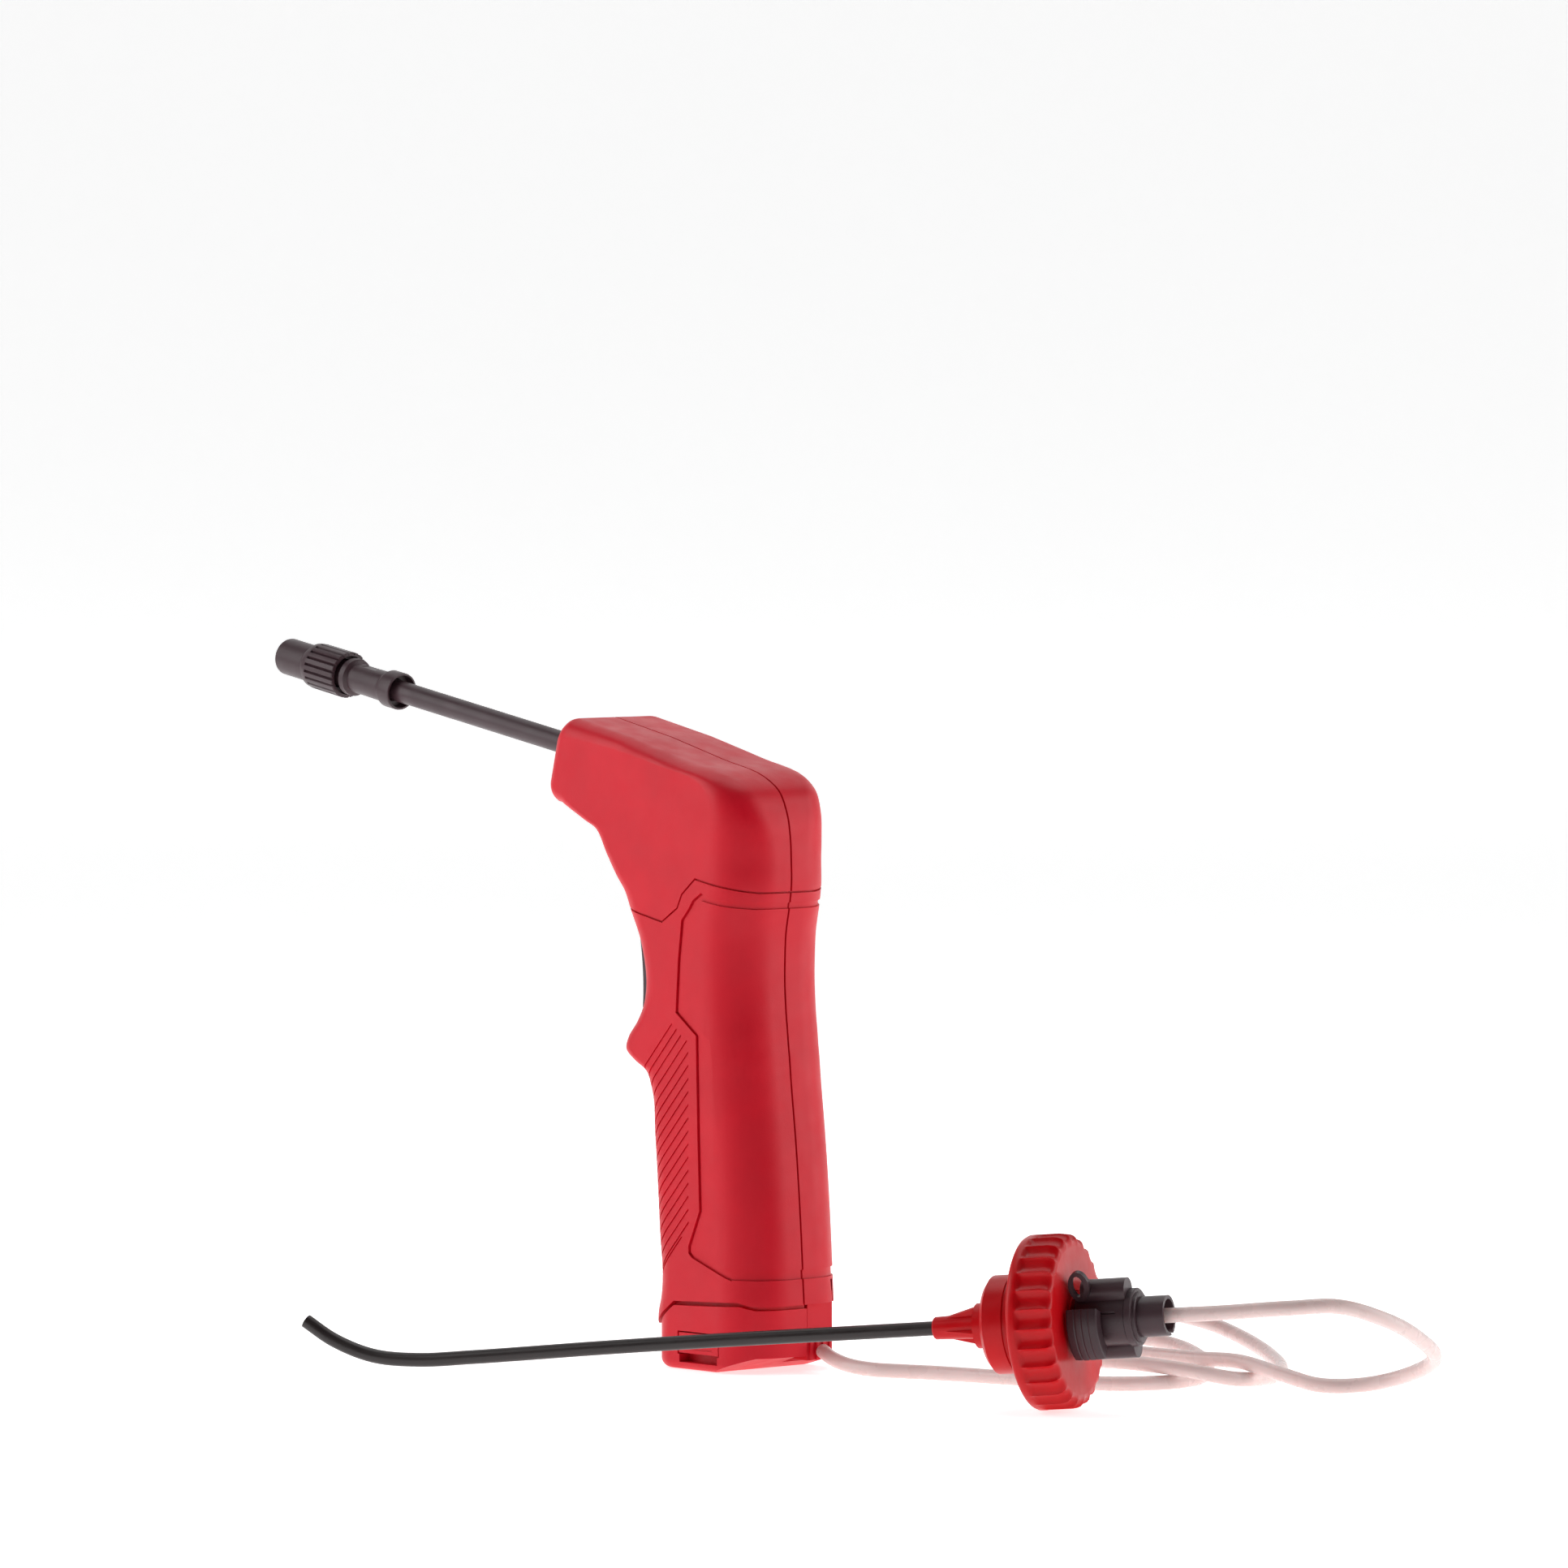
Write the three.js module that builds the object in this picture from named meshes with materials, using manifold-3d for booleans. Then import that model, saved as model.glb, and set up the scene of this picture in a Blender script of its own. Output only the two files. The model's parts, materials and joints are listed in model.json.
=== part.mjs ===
// Battery-powered wand sprayer for jugs of garden or cleaning liquid.
//
// A pistol-grip handle (two moulded halves, motor and pump in the head, four AA
// cells in the grip, a clip-on battery cap as its foot) carries a rising wand
// with an adjustable nozzle. A soft supply hose leaves the back of the foot,
// lies on the floor in loose loops and ends in a quick connector, which is
// snapped onto the bottle cap with its dip tube.
//
// Millimetres. +X is the spraying direction, +Y the tool's left side, +Z up.
// The origin is on the floor under the middle of the handle's foot.
import * as THREE from "three";
import { mergeVertices } from "three/addons/utils/BufferGeometryUtils.js";
import Module from "manifold-3d";

const wasm = await Module();
wasm.setup();

// ---------------------------------------------------------------- dimensions
const HALF_WIDTH = 20.5; // handle, middle plane to the flat side
const WALL = 2.2; // moulded wall of the handle
const GAP = 0.3; // working gap between neighbouring pieces
const ROUND_STEPS = 4; // facets in each rounded corner of the handle
const SIDES = 20; // facets round a turned piece

const FACE_LEAN = THREE.MathUtils.degToRad(14); // head's front face leans back
const FACE_FOOT = new THREE.Vector2(70.2, 171.9); // lower end of that face
const FACE_HEIGHT = 25.3;
const FACE_ROUND = 6; // depth of the rounding round that face

const WAND_RISE = THREE.MathUtils.degToRad(10);
const WAND_ROOT = [67, 0, 183.6]; // where the wand leaves the head
const WAND_R = 3.4;
const WAND_BORE = 2.2;
const WAND_INNER_END = -19;
const WAND_OUTER_END = 101;
const NOZZLE_REAR = 95.8;
const BARREL_FRONT = 118; // rear of the flange at the barrel's front end
const FLANGE_FRONT = 120.3;
const RING_REAR = 122;
const NECK_FRONT = 124.6;
const SPIGOT_FRONT = 134;
const RING_FRONT = 139.3;
const NOZZLE_TIP = 153;

const TRIGGER_PIVOT = [31, 144.5]; // X and Z
const TRIGGER_HALF_WIDTH = 9.6;
const PIN_R = 1.7;
const SWITCH_Z = 122;

const CELL_R = 7;
const CELL_PITCH = 7.2; // from the pack's middle to each cell's middle
const CELL_X = 1.5;
const CELL_BOTTOM = 23;
const CELL_TOP = 71;

const SCREW_SPOTS = [
  [8, 84],
  [4, 138],
  [2, 175.3],
  [30, 181],
]; // X and Z of the housing screws
const SCREW_HEAD_R = 2.8;
const SCREW_SHANK_R = 1.2;
const SCREW_SEAT = -9; // Y where the screw heads sit
const PILOT_R = 1.5;
const POST_INSET = 1; // screw posts end this far inside the skin

const HOSE_R = 2.2;
const HOSE_STEPS = 80;
const HOSE_SIDES = 8;

const CAP_CENTRE = [-153, 19, 25.9]; // bottle cap, on its own axis
const CAP_AXIS = [-0.885, -0.457, 0.087]; // points towards the quick connector
const CAP_R = 25.5;
const CAP_OPEN_END = -4;
const CAP_FACE = 9.5;
const FLUTES = 28;
const FLUTE_DEPTH = 1.1;
const DIP_TUBE_R = 2.1;
const LEVER_TILT = THREE.MathUtils.degToRad(18); // levers' plane, below level
const LEVER_WIDTH = 15.6;
const LEVER_END = 19.8; // squeeze lever's end towards the hose
const CONNECTOR_REAR = 11; // stations along the cap's axis
const SHOULDER = 26.3;
const SHOULDER_END = 29.3;
const COLLAR_END = 37.4;
const RIB_R = 3.9; // tubular ribs along the connector
const RIB_OFFSET = 8.4;

// Handle outline, station by station from the foot up and over into the head:
// front X, front Z, back X, back Z, front corner radius, back corner radius.
const HANDLE = [
  [21.7, 11, -26.9, 11, 9, 15],
  [21.5, 17, -26.9, 17, 9, 15],
  [20.4, 21, -26.9, 21, 9, 15],
  [19.8, 26, -26.6, 26, 9, 15],
  [20.9, 40.6, -25.7, 41, 9, 15],
  [23.1, 70, -23.1, 71, 9, 15],
  [24.5, 84.6, -21.2, 87, 8.5, 15],
  [26.7, 89.4, -20.7, 92, 8, 15],
  [31.4, 92.4, -20.4, 95, 7, 15],
  [34.4, 95.4, -20, 98, 6, 15],
  [34.2, 98.9, -19.6, 102, 7, 15],
  [30.9, 104, -19, 107, 8.5, 15],
  [28.3, 109, -18.6, 112, 9, 15],
  [27.1, 115, -18.3, 118, 9, 15],
  [27.6, 121, -18.4, 125, 9, 15],
  [29.7, 128.6, -18.8, 132, 9, 15],
  [34.2, 138.3, -20.6, 141.5, 8.5, 15],
  [36.2, 143.1, -21.3, 147, 8, 15],
  [39.6, 147.9, -21.2, 154, 7, 15],
  [43.6, 154.5, -20.8, 161, 6, 14],
  [47.6, 161.6, -19.2, 168.6, 5, 12],
  [52.3, 164, -15.8, 174.8, 4.5, 10],
  [56, 165.7, -9.5, 178.8, 4.5, 8],
  [61, 168, 10, 183.8, 4.5, 6.5],
  [63.6, 169.2, 33, 189.7, 4.5, 6],
];

// Parting line between housing and battery cap: front, raised side, back step.
const PARTING = [
  [40, 12.2],
  [20.2, 12.2],
  [9.2, 20],
  [-18, 21.2],
  [-22, 20],
  [-40, 20],
];
const PARTING_GAP = 1.3;

// Underside of the battery cap: a flat foot, then a relief towards the back.
const FOOT_RELIEF = [
  [-7, -5],
  [-7, 0],
  [-16, 2.9],
  [-22, 4.9],
  [-40, 5.3],
  [-40, -5],
];

// Supply hose, from the spout at the back of the foot to the quick connector.
const HOSE_ROUTE = [
  [-26.5, -8, 6.2],
  [-33, -6, 4.6],
  [-41.5, -5, 3.2],
  [-50.5, -6.5, 2.5],
  [-59, -10, 2.4],
  [-68.5, -14, 2.4],
  [-80.5, -17.5, 2.4],
  [-96, -21.5, 2.4],
  [-113.5, -26, 2.4],
  [-128, -33, 2.4],
  [-135, -46, 2.4],
  [-132.5, -62, 2.4],
  [-121, -77.5, 3],
  [-104.5, -90.5, 4.6],
  [-85.5, -98, 6.4],
  [-66.5, -97.5, 7.7],
  [-52.5, -88.5, 7.8],
  [-48, -72.5, 7.8],
  [-54, -55.5, 7.8],
  [-68, -43, 7.8],
  [-87.5, -37, 7.8],
  [-108, -37.5, 7.8],
  [-126.5, -42, 7.8],
  [-140, -50, 6.2],
  [-147.5, -63.5, 3.2],
  [-145.5, -79.5, 2.5],
  [-135.5, -94, 3.2],
  [-118.5, -106.5, 5],
  [-97.5, -116, 8],
  [-76.5, -121, 11],
  [-56.5, -120, 13],
  [-40, -112.5, 13.6],
  [-30, -99.5, 13.4],
  [-29.5, -83.5, 13],
  [-39, -69, 12.9],
  [-56, -60, 12.6],
  [-75, -57.5, 10.4],
  [-94, -59.5, 8.6],
  [-112, -62, 8],
  [-128.5, -65, 7.8],
  [-144.5, -68, 7.8],
  [-159.5, -70.5, 5],
  [-172.5, -73.5, 2.6],
  [-184, -80.5, 3.2],
  [-197.5, -84.5, 6.8],
  [-213.5, -79.5, 13],
  [-224.5, -61, 21.4],
  [-228, -45, 27.6],
  [-224.5, -29, 32.4],
  [-216.5, -17, 32.2],
  [-199, -5, 30.3],
  [-190, 0, 29.5],
  [-182.7, 3.7, 28.8],
];

// ------------------------------------------------------------------ colours
const FINISH = {
  shell: [0xd61f33, 0.45, 0],
  dark: [0x3d3033, 0.5, 0],
  capRed: [0xe01822, 0.4, 0],
  black: [0x17120f, 0.45, 0],
  hose: [0xeadfdd, 0.35, 0],
  rubber: [0x1a1a1b, 0.8, 0],
  steel: [0xb8babd, 0.35, 1],
  brass: [0xc2a04f, 0.35, 1],
  cell: [0x2c3f52, 0.4, 0.3],
  pump: [0xd9d7cf, 0.5, 0],
  wire: [0xb3121c, 0.5, 0],
};

function finish(name) {
  const [color, roughness, metalness] = FINISH[name];
  return new THREE.MeshStandardMaterial({ color, roughness, metalness });
}

// ------------------------------------------------------------ solid helpers
function solidOf(geometry) {
  const bare = geometry.index ? geometry.toNonIndexed() : geometry.clone();
  bare.deleteAttribute("normal");
  bare.deleteAttribute("uv");
  const merged = mergeVertices(bare, 1e-4);
  return new wasm.Manifold(
    new wasm.Mesh({
      numProp: 3,
      vertProperties: merged.attributes.position.array,
      triVerts: new Uint32Array(merged.index.array),
    }),
  );
}

function geometryOf(solid) {
  const mesh = solid.getMesh();
  const geometry = new THREE.BufferGeometry();
  geometry.setAttribute("position", new THREE.BufferAttribute(mesh.vertProperties, 3));
  geometry.setIndex(new THREE.BufferAttribute(mesh.triVerts, 1));
  return geometry;
}

function cut(base, ...tools) {
  return geometryOf(tools.reduce((left, tool) => left.subtract(solidOf(tool)), solidOf(base)));
}

function join(base, ...others) {
  return geometryOf(others.reduce((sum, other) => sum.add(solidOf(other)), solidOf(base)));
}

function common(base, other) {
  return geometryOf(solidOf(base).intersect(solidOf(other)));
}

// Box from its lowest to its highest corner.
function box(low, high) {
  const size = high.map((value, i) => value - low[i]);
  const middle = high.map((value, i) => (value + low[i]) / 2);
  return new THREE.BoxGeometry(...size).translate(...middle);
}

// Box on one side of the middle plane, from its inner to its outer Y distance.
function sideBox(side, [x0, inner, z0], [x1, outer, z1]) {
  const [y0, y1] = side > 0 ? [inner, outer] : [-outer, -inner];
  return box([x0, y0, z0], [x1, y1, z1]);
}

// Cylinders along X, Y and Z, given by where they start and end on that axis.
function rodX(r, from, to, y = 0, z = 0, sides = SIDES) {
  return new THREE.CylinderGeometry(r, r, to - from, sides)
    .rotateZ(-Math.PI / 2)
    .translate((from + to) / 2, y, z);
}

function rodY(r, from, to, x = 0, z = 0, sides = SIDES) {
  return new THREE.CylinderGeometry(r, r, to - from, sides).translate(x, (from + to) / 2, z);
}

function rodZ(r, from, to, x = 0, y = 0, sides = SIDES) {
  return new THREE.CylinderGeometry(r, r, to - from, sides)
    .rotateX(Math.PI / 2)
    .translate(x, y, (from + to) / 2);
}

// Turned piece round the X axis from [x, radius] pairs given rear to front.
function turned(profile, sides = SIDES) {
  const points = profile.map(([x, r]) => new THREE.Vector2(r, x));
  return new THREE.LatheGeometry(points, sides).rotateZ(-Math.PI / 2);
}

// Ring round the X axis between two radii.
function ring(inner, outer, from, to, sides = SIDES) {
  return turned([[from, inner], [from, outer], [to, outer], [to, inner], [from, inner]], sides);
}

// Plate with an XZ outline, standing from one Y to another.
function sidePlate(outline, from, to) {
  const shape = new THREE.Shape(outline.map(([x, z]) => new THREE.Vector2(x, z)));
  return new THREE.ExtrudeGeometry(shape, { depth: to - from, bevelEnabled: false })
    .rotateX(Math.PI / 2)
    .translate(0, to, 0);
}

// Round cord along a smooth curve through the given points.
function cord(points, radius, steps, sides) {
  const section = new THREE.Shape();
  for (let i = 0; i < sides; i += 1) {
    const angle = (2 * Math.PI * i) / sides;
    const point = [radius * Math.cos(angle), radius * Math.sin(angle)];
    if (i === 0) section.moveTo(...point);
    else section.lineTo(...point);
  }
  const curve = new THREE.CatmullRomCurve3(points.map((p) => new THREE.Vector3(...p)));
  return new THREE.ExtrudeGeometry(section, { steps, extrudePath: curve, bevelEnabled: false });
}

// ------------------------------------------------------------ handle surface
// One rounded rectangle that spans from a front point to a back point in the
// XZ plane and from -halfWidth to halfWidth in Y.
function section(front, back, halfWidth, frontRound, backRound) {
  const along = back.clone().sub(front);
  const length = along.length();
  along.normalize();
  const corners = [
    [0, 1, frontRound, Math.PI],
    [1, 1, backRound, Math.PI / 2],
    [1, -1, backRound, 0],
    [0, -1, frontRound, -Math.PI / 2],
  ];
  const points = [];
  for (const [end, side, radius, startAngle] of corners) {
    const centreAlong = end === 0 ? radius : length - radius;
    const centreAcross = side * (halfWidth - radius);
    for (let i = 0; i <= ROUND_STEPS; i += 1) {
      const angle = startAngle - ((Math.PI / 2) * i) / ROUND_STEPS;
      const t = centreAlong + radius * Math.cos(angle);
      const y = centreAcross + radius * Math.sin(angle);
      points.push(new THREE.Vector3(front.x + along.x * t, y, front.y + along.y * t));
    }
  }
  return points;
}

// Closed skin over a stack of rings with the same number of points.
function loft(rings) {
  const count = rings[0].length;
  const positions = rings.flat();
  const index = [];
  for (let r = 0; r + 1 < rings.length; r += 1) {
    for (let i = 0; i < count; i += 1) {
      const j = (i + 1) % count;
      const a = r * count + i;
      const b = r * count + j;
      index.push(a, b, a + count, b, b + count, a + count);
    }
  }
  const last = (rings.length - 1) * count;
  for (let i = 1; i + 1 < count; i += 1) {
    index.push(0, i + 1, i);
    index.push(last, last + i, last + i + 1);
  }
  const geometry = new THREE.BufferGeometry().setFromPoints(positions);
  geometry.setIndex(index);
  return geometry;
}

// Handle body moved inwards by inset; the front face is moved in by faceInset.
function handleSolid(inset, faceInset) {
  const rings = HANDLE.map(([fx, fz, bx, bz, fr, br]) => {
    const front = new THREE.Vector2(fx, fz);
    const back = new THREE.Vector2(bx, bz);
    const along = back.clone().sub(front).normalize().multiplyScalar(inset);
    front.add(along);
    back.sub(along);
    return section(front, back, HALF_WIDTH - inset, Math.max(fr - inset, 1), br - inset);
  });
  // Four more rings turn the skin through a rounded edge into the front face.
  const normal = new THREE.Vector2(Math.cos(FACE_LEAN), Math.sin(FACE_LEAN));
  const up = new THREE.Vector2(-normal.y, normal.x);
  for (const turn of [0, 0.35, 0.7, 1]) {
    const angle = (turn * Math.PI) / 2;
    const depth = faceInset + FACE_ROUND * (1 - Math.sin(angle));
    const shrink = 1 - Math.cos(angle);
    const lower = FACE_FOOT.clone().addScaledVector(normal, -depth);
    lower.addScaledVector(up, inset + 2.5 * shrink - depth * 0.18);
    const upper = FACE_FOOT.clone().addScaledVector(normal, -depth);
    upper.addScaledVector(up, FACE_HEIGHT - inset - 8 * shrink);
    const halfWidth = HALF_WIDTH - inset - 5 * shrink;
    rings.push(section(lower, upper, halfWidth, Math.max(4 - inset, 1), Math.max(6 - inset, 1)));
  }
  return loft(rings);
}

// ------------------------------------------------------------------- housing
// Everything below the parting line, moved up or down by shift.
function belowParting(shift) {
  const outline = PARTING.map(([x, z]) => [x, z + shift]);
  return sidePlate([...outline, [-40, -10], [40, -10]], -30, 30);
}

function housingHalf(side) {
  const shell = cut(handleSolid(0, 0), handleSolid(WALL, WALL), belowParting(PARTING_GAP / 2));
  const wandHole = rodX(4.9, -12, 6).rotateY(-WAND_RISE).translate(...WAND_ROOT);
  const triggerSlot = box([22, -10, 99.6], [60, 10, 149.5]);
  const spoutSlot = box([-24.6, -14.5, 10], [-14, -2.5, 27.5]);
  const keep = sideBox(side, [-60, GAP / 2, 0], [90, 30, 220]);
  const half = common(cut(shell, wandHole, triggerSlot, spoutSlot), keep);
  return side > 0 ? withScrewPosts(half) : withScrewHoles(half);
}

// Blind posts that the screws bite into, on the left half.
function withScrewPosts(half) {
  const wallInside = HALF_WIDTH - WALL + 0.9;
  const rods = SCREW_SPOTS.map(([x, z]) => rodY(3, GAP, wallInside, x, z, 16));
  const posts = rods.map((rod) => common(rod, handleSolid(POST_INSET, POST_INSET)));
  const pilots = SCREW_SPOTS.map(([x, z]) => rodY(PILOT_R, 0, 9, x, z, 12));
  return cut(join(half, ...posts), ...pilots);
}

// Through posts with a counterbore for each screw head, on the right half.
function withScrewHoles(half) {
  const wallInside = -(HALF_WIDTH - WALL + 0.9);
  const rods = SCREW_SPOTS.map(([x, z]) => rodY(4.2, wallInside, -GAP, x, z, 16));
  const posts = rods.map((rod) => common(rod, handleSolid(POST_INSET, POST_INSET)));
  const holes = SCREW_SPOTS.map(([x, z]) => rodY(PILOT_R, -30, 0, x, z, 12));
  const bores = SCREW_SPOTS.map(([x, z]) => rodY(SCREW_HEAD_R + 0.5, -30, SCREW_SEAT, x, z, 16));
  return cut(join(half, ...posts), ...holes, ...bores);
}

function housingScrew() {
  const underHead = SCREW_SEAT - GAP;
  return join(
    rodY(SCREW_SHANK_R, underHead - 0.2, 7.6, 0, 0, 12),
    rodY(SCREW_HEAD_R, underHead - 1.9, underHead, 0, 0, 16),
  );
}

// ------------------------------------------------------------- battery cap
// Straight-sided block of the foot's outline, from one Z to another.
function footBlock(front, back, halfWidth, frontRound, backRound, from, to) {
  const at = (z, inset) =>
    section(
      new THREE.Vector2(front - inset, z),
      new THREE.Vector2(back + inset, z),
      halfWidth - inset,
      frontRound,
      backRound,
    );
  return loft([at(from, 0), at(to, 0)]);
}

function batteryCap() {
  const edge = 3;
  const rings = [
    [0, edge],
    [0.9, 0.9],
    [edge, 0],
    [24, 0],
  ].map(([z, inset]) =>
    section(
      new THREE.Vector2(20.2 - inset, z),
      new THREE.Vector2(-25.5 + inset, z),
      HALF_WIDTH - inset,
      9 - inset,
      15 - inset,
    ),
  );
  const below = belowParting(-PARTING_GAP / 2);
  const foot = common(loft(rings), below);
  const collar = footBlock(17.2, -24.3, 18, 6.5, 12.5, 10, 25.5);
  const hollow = footBlock(16.1, -23.2, 16.9, 5.4, 11.4, 12.4, 40);
  const relief = sidePlate(FOOT_RELIEF, -30, 30);
  const hoseSlot = box([-40, -14.5, -5], [-14, -2.5, 40]);
  const recesses = [];
  for (const side of [1, -1]) {
    recesses.push(sideBox(side, [-11.3, 15.4, 4.8], [7.3, 30, 11.8]));
    recesses.push(sideBox(side, [-10.5, 16.4, 2.4], [6.5, 30, 5]));
  }
  return cut(join(foot, collar), hollow, relief, hoseSlot, ...recesses);
}

function latch(side) {
  const plate = sideBox(side, [-10.9, 17.6, 5.2], [6.9, 20.4, 11.4]);
  const grooves = [6.7, 8.3, 9.9].map((z) => sideBox(side, [-8, 20, z - 0.3], [4, 21, z + 0.3]));
  return cut(plate, ...grooves);
}

// ------------------------------------------------------------------- trigger
function trigger() {
  const face = new THREE.Shape();
  face.moveTo(27.2, 101.6);
  face.lineTo(32.4, 101.4);
  face.quadraticCurveTo(35, 103, 35.6, 108);
  face.bezierCurveTo(36.2, 116, 36.4, 122, 38.6, 136);
  face.lineTo(38.4, 146);
  face.lineTo(35, 148.9);
  face.lineTo(28.4, 148.9);
  face.lineTo(25.6, 142);
  face.lineTo(25.2, 105);
  const bevel = 1.2;
  const body = new THREE.ExtrudeGeometry(face, {
    depth: 2 * (TRIGGER_HALF_WIDTH - bevel),
    curveSegments: 6,
    bevelThickness: bevel,
    bevelSize: bevel,
    bevelOffset: -bevel,
    bevelSegments: 2,
  })
    .rotateX(Math.PI / 2)
    .translate(0, TRIGGER_HALF_WIDTH - bevel, 0);
  return cut(body, rodY(PIN_R + GAP, -12, 12, ...TRIGGER_PIVOT, 16));
}

function torsionSpring() {
  const coil = cut(
    rodY(2.8, 10.2, 13.6, ...TRIGGER_PIVOT, 16),
    rodY(2, 9, 16, ...TRIGGER_PIVOT, 16),
  );
  const leg = box([18, 12, 146.2], [31, 13, 147.2]);
  return join(coil, leg);
}

function microSwitch() {
  const bodyBox = box([8, -3.2, SWITCH_Z - 5], [20, 3.2, SWITCH_Z + 5]);
  const terminals = [SWITCH_Z - 3, SWITCH_Z + 3].map((z) =>
    box([4, -0.4, z - 1.5], [8.5, 0.4, z + 1.5]),
  );
  return cut(join(bodyBox, ...terminals), rodX(1.9, 13, 21, 0, SWITCH_Z, 16));
}

// --------------------------------------------------------------- motor, pump
function motor() {
  const can = rodX(12, -15, 12.5, 0, 158);
  const bearing = rodX(4, 12, 14.2, 0, 158, 16);
  const rear = rodX(4.5, -17.2, -14.5, 0, 158, 16);
  return join(can, bearing, rear);
}

function pumpBody() {
  const housing = box([16.3, -11.5, 150.4], [32, 11.5, 168]);
  const inlet = rodZ(1.7, 147.4, 151, 19.5, -8, 12);
  return cut(join(housing, inlet), rodX(3, 15, 19, 0, 158, 16));
}

function pumpHead() {
  const head = box([32.3, -9.5, 153.4], [38.2, 9.5, 167.6]);
  const outlet = rodX(1.7, 37.5, 41.6, 0, 163, 12);
  return join(head, outlet);
}

// ------------------------------------------------------------------- battery
function cell() {
  const can = rodZ(CELL_R, CELL_BOTTOM, CELL_TOP);
  const tip = rodZ(2.6, CELL_TOP - 1, CELL_TOP + 1.2, 0, 0, 16);
  return join(can, tip);
}

function batteryCarrier() {
  const bottom = box([-12.4, -13.8, 20.5], [15.4, 13.8, 21.9]);
  const top = box([-12.4, -13.8, 73.3], [15.4, 13.8, 75.3]);
  const post = rodZ(2.4, 21, 74, CELL_X, 0, 12);
  return join(bottom, post, top);
}

function contactPlate(z) {
  const plate = box([-11.9, -13.3, z], [14.9, 13.3, z + 0.4]);
  return cut(plate, rodZ(3, z - 1, z + 1, CELL_X, 0, 12));
}

// ---------------------------------------------------------------- wand group
function wandTube() {
  return ring(WAND_BORE, WAND_R, WAND_INNER_END, WAND_OUTER_END);
}

function wandBush() {
  const inner = WAND_R + GAP;
  return turned([
    [-10, inner],
    [-10, 6.6],
    [-7.5, 6.6],
    [-7.5, 4.5],
    [0.6, 4.5],
    [0.6, inner],
    [-10, inner],
  ]);
}

function nozzleBody() {
  const socket = WAND_R + GAP;
  return turned([
    [NOZZLE_REAR, 5.2],
    [NOZZLE_REAR, 5.8],
    [NOZZLE_REAR + 5.8, 5.9],
    [NOZZLE_REAR + 7, 4.9],
    [BARREL_FRONT - 0.4, 4.7],
    [BARREL_FRONT, 5.9],
    [FLANGE_FRONT, 5.9],
    [FLANGE_FRONT, 4.5],
    [NECK_FRONT, 4.5],
    [NECK_FRONT, 3.4],
    [SPIGOT_FRONT, 3.4],
    [SPIGOT_FRONT, 1.4],
    [WAND_OUTER_END + GAP, 1.4],
    [WAND_OUTER_END + GAP, socket],
    [NOZZLE_REAR + 3.5, socket],
    [NOZZLE_REAR + 3.5, 5.2],
    [NOZZLE_REAR, 5.2],
  ]);
}

function nozzleSeal() {
  return ring(3.7, 4.4, 128, 129.6);
}

function nozzleCap() {
  const boreRear = NECK_FRONT + 1;
  return turned([
    [RING_REAR, 6.2],
    [RING_REAR, 7.3],
    [RING_FRONT - 1.5, 7.25],
    [RING_FRONT, 5.9],
    [NOZZLE_TIP - 0.8, 5.85],
    [NOZZLE_TIP, 5.2],
    [NOZZLE_TIP, 1.1],
    [SPIGOT_FRONT + 2, 1.1],
    [SPIGOT_FRONT + 2, 4.8],
    [boreRear, 4.8],
    [boreRear, 6.2],
    [RING_REAR, 6.2],
  ]);
}

// ----------------------------------------------------- hose spout and hoses
function hoseSpout() {
  const block = box([-24.6, -13.6, 3.4], [-16.8, -3.4, 24]);
  const ridges = [];
  for (let i = 0; i < 4; i += 1) {
    const y = -12.4 + i * 2.6;
    ridges.push(box([-25.2, y - 0.5, 3.4], [-24.2, y + 0.5, 10]));
  }
  return join(block, ...ridges);
}

function innerHose() {
  return cord(
    [
      [-18.4, -8, 24.4],
      [-18.2, -8, 40],
      [-17.4, -8, 70],
      [-14.2, -8, 90],
      [-9, -8, 108],
      [3, -8, 122],
      [15, -8, 132],
      [19.5, -8, 146.6],
    ],
    HOSE_R,
    28,
    8,
  );
}

function outletHose() {
  return cord(
    [
      [42.3, 0, 163],
      [46, 0, 164.2],
      [47.4, 0, 168.5],
      [43.8, 0, 173],
      [42.2, 0, 177],
      [47.6, 0, 180.2],
    ],
    1.8,
    20,
    8,
  );
}

function wire(y, from, to) {
  return cord([from, [(from[0] + to[0]) / 2 - 6, y, (from[2] + to[2]) / 2], to], 0.7, 14, 6);
}

// ------------------------------------------------------- bottle cap assembly
function screwCap() {
  const outline = new THREE.Shape();
  const perFlute = 4;
  for (let i = 0; i < FLUTES * perFlute; i += 1) {
    const angle = (2 * Math.PI * i) / (FLUTES * perFlute);
    const wave = 0.5 - 0.5 * Math.cos(FLUTES * angle);
    const r = CAP_R - FLUTE_DEPTH * wave;
    if (i === 0) outline.moveTo(r, 0);
    else outline.lineTo(r * Math.cos(angle), r * Math.sin(angle));
  }
  const fluted = new THREE.ExtrudeGeometry(outline, {
    depth: CAP_FACE - CAP_OPEN_END - 1.6,
    bevelThickness: 1.6,
    bevelSize: 1.6,
    bevelOffset: -1.6,
    bevelSegments: 1,
  })
    .rotateY(Math.PI / 2)
    .translate(CAP_OPEN_END, 0, 0);
  const skirt = box([CAP_OPEN_END, -30, -30], [CAP_FACE, 30, 30]);
  return cut(
    common(fluted, skirt),
    rodX(22.8, CAP_OPEN_END - 2, CAP_FACE - 2.6, 0, 0, 36),
    rodX(8.8, 0, 20, 0, 0, 36),
  );
}

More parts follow.
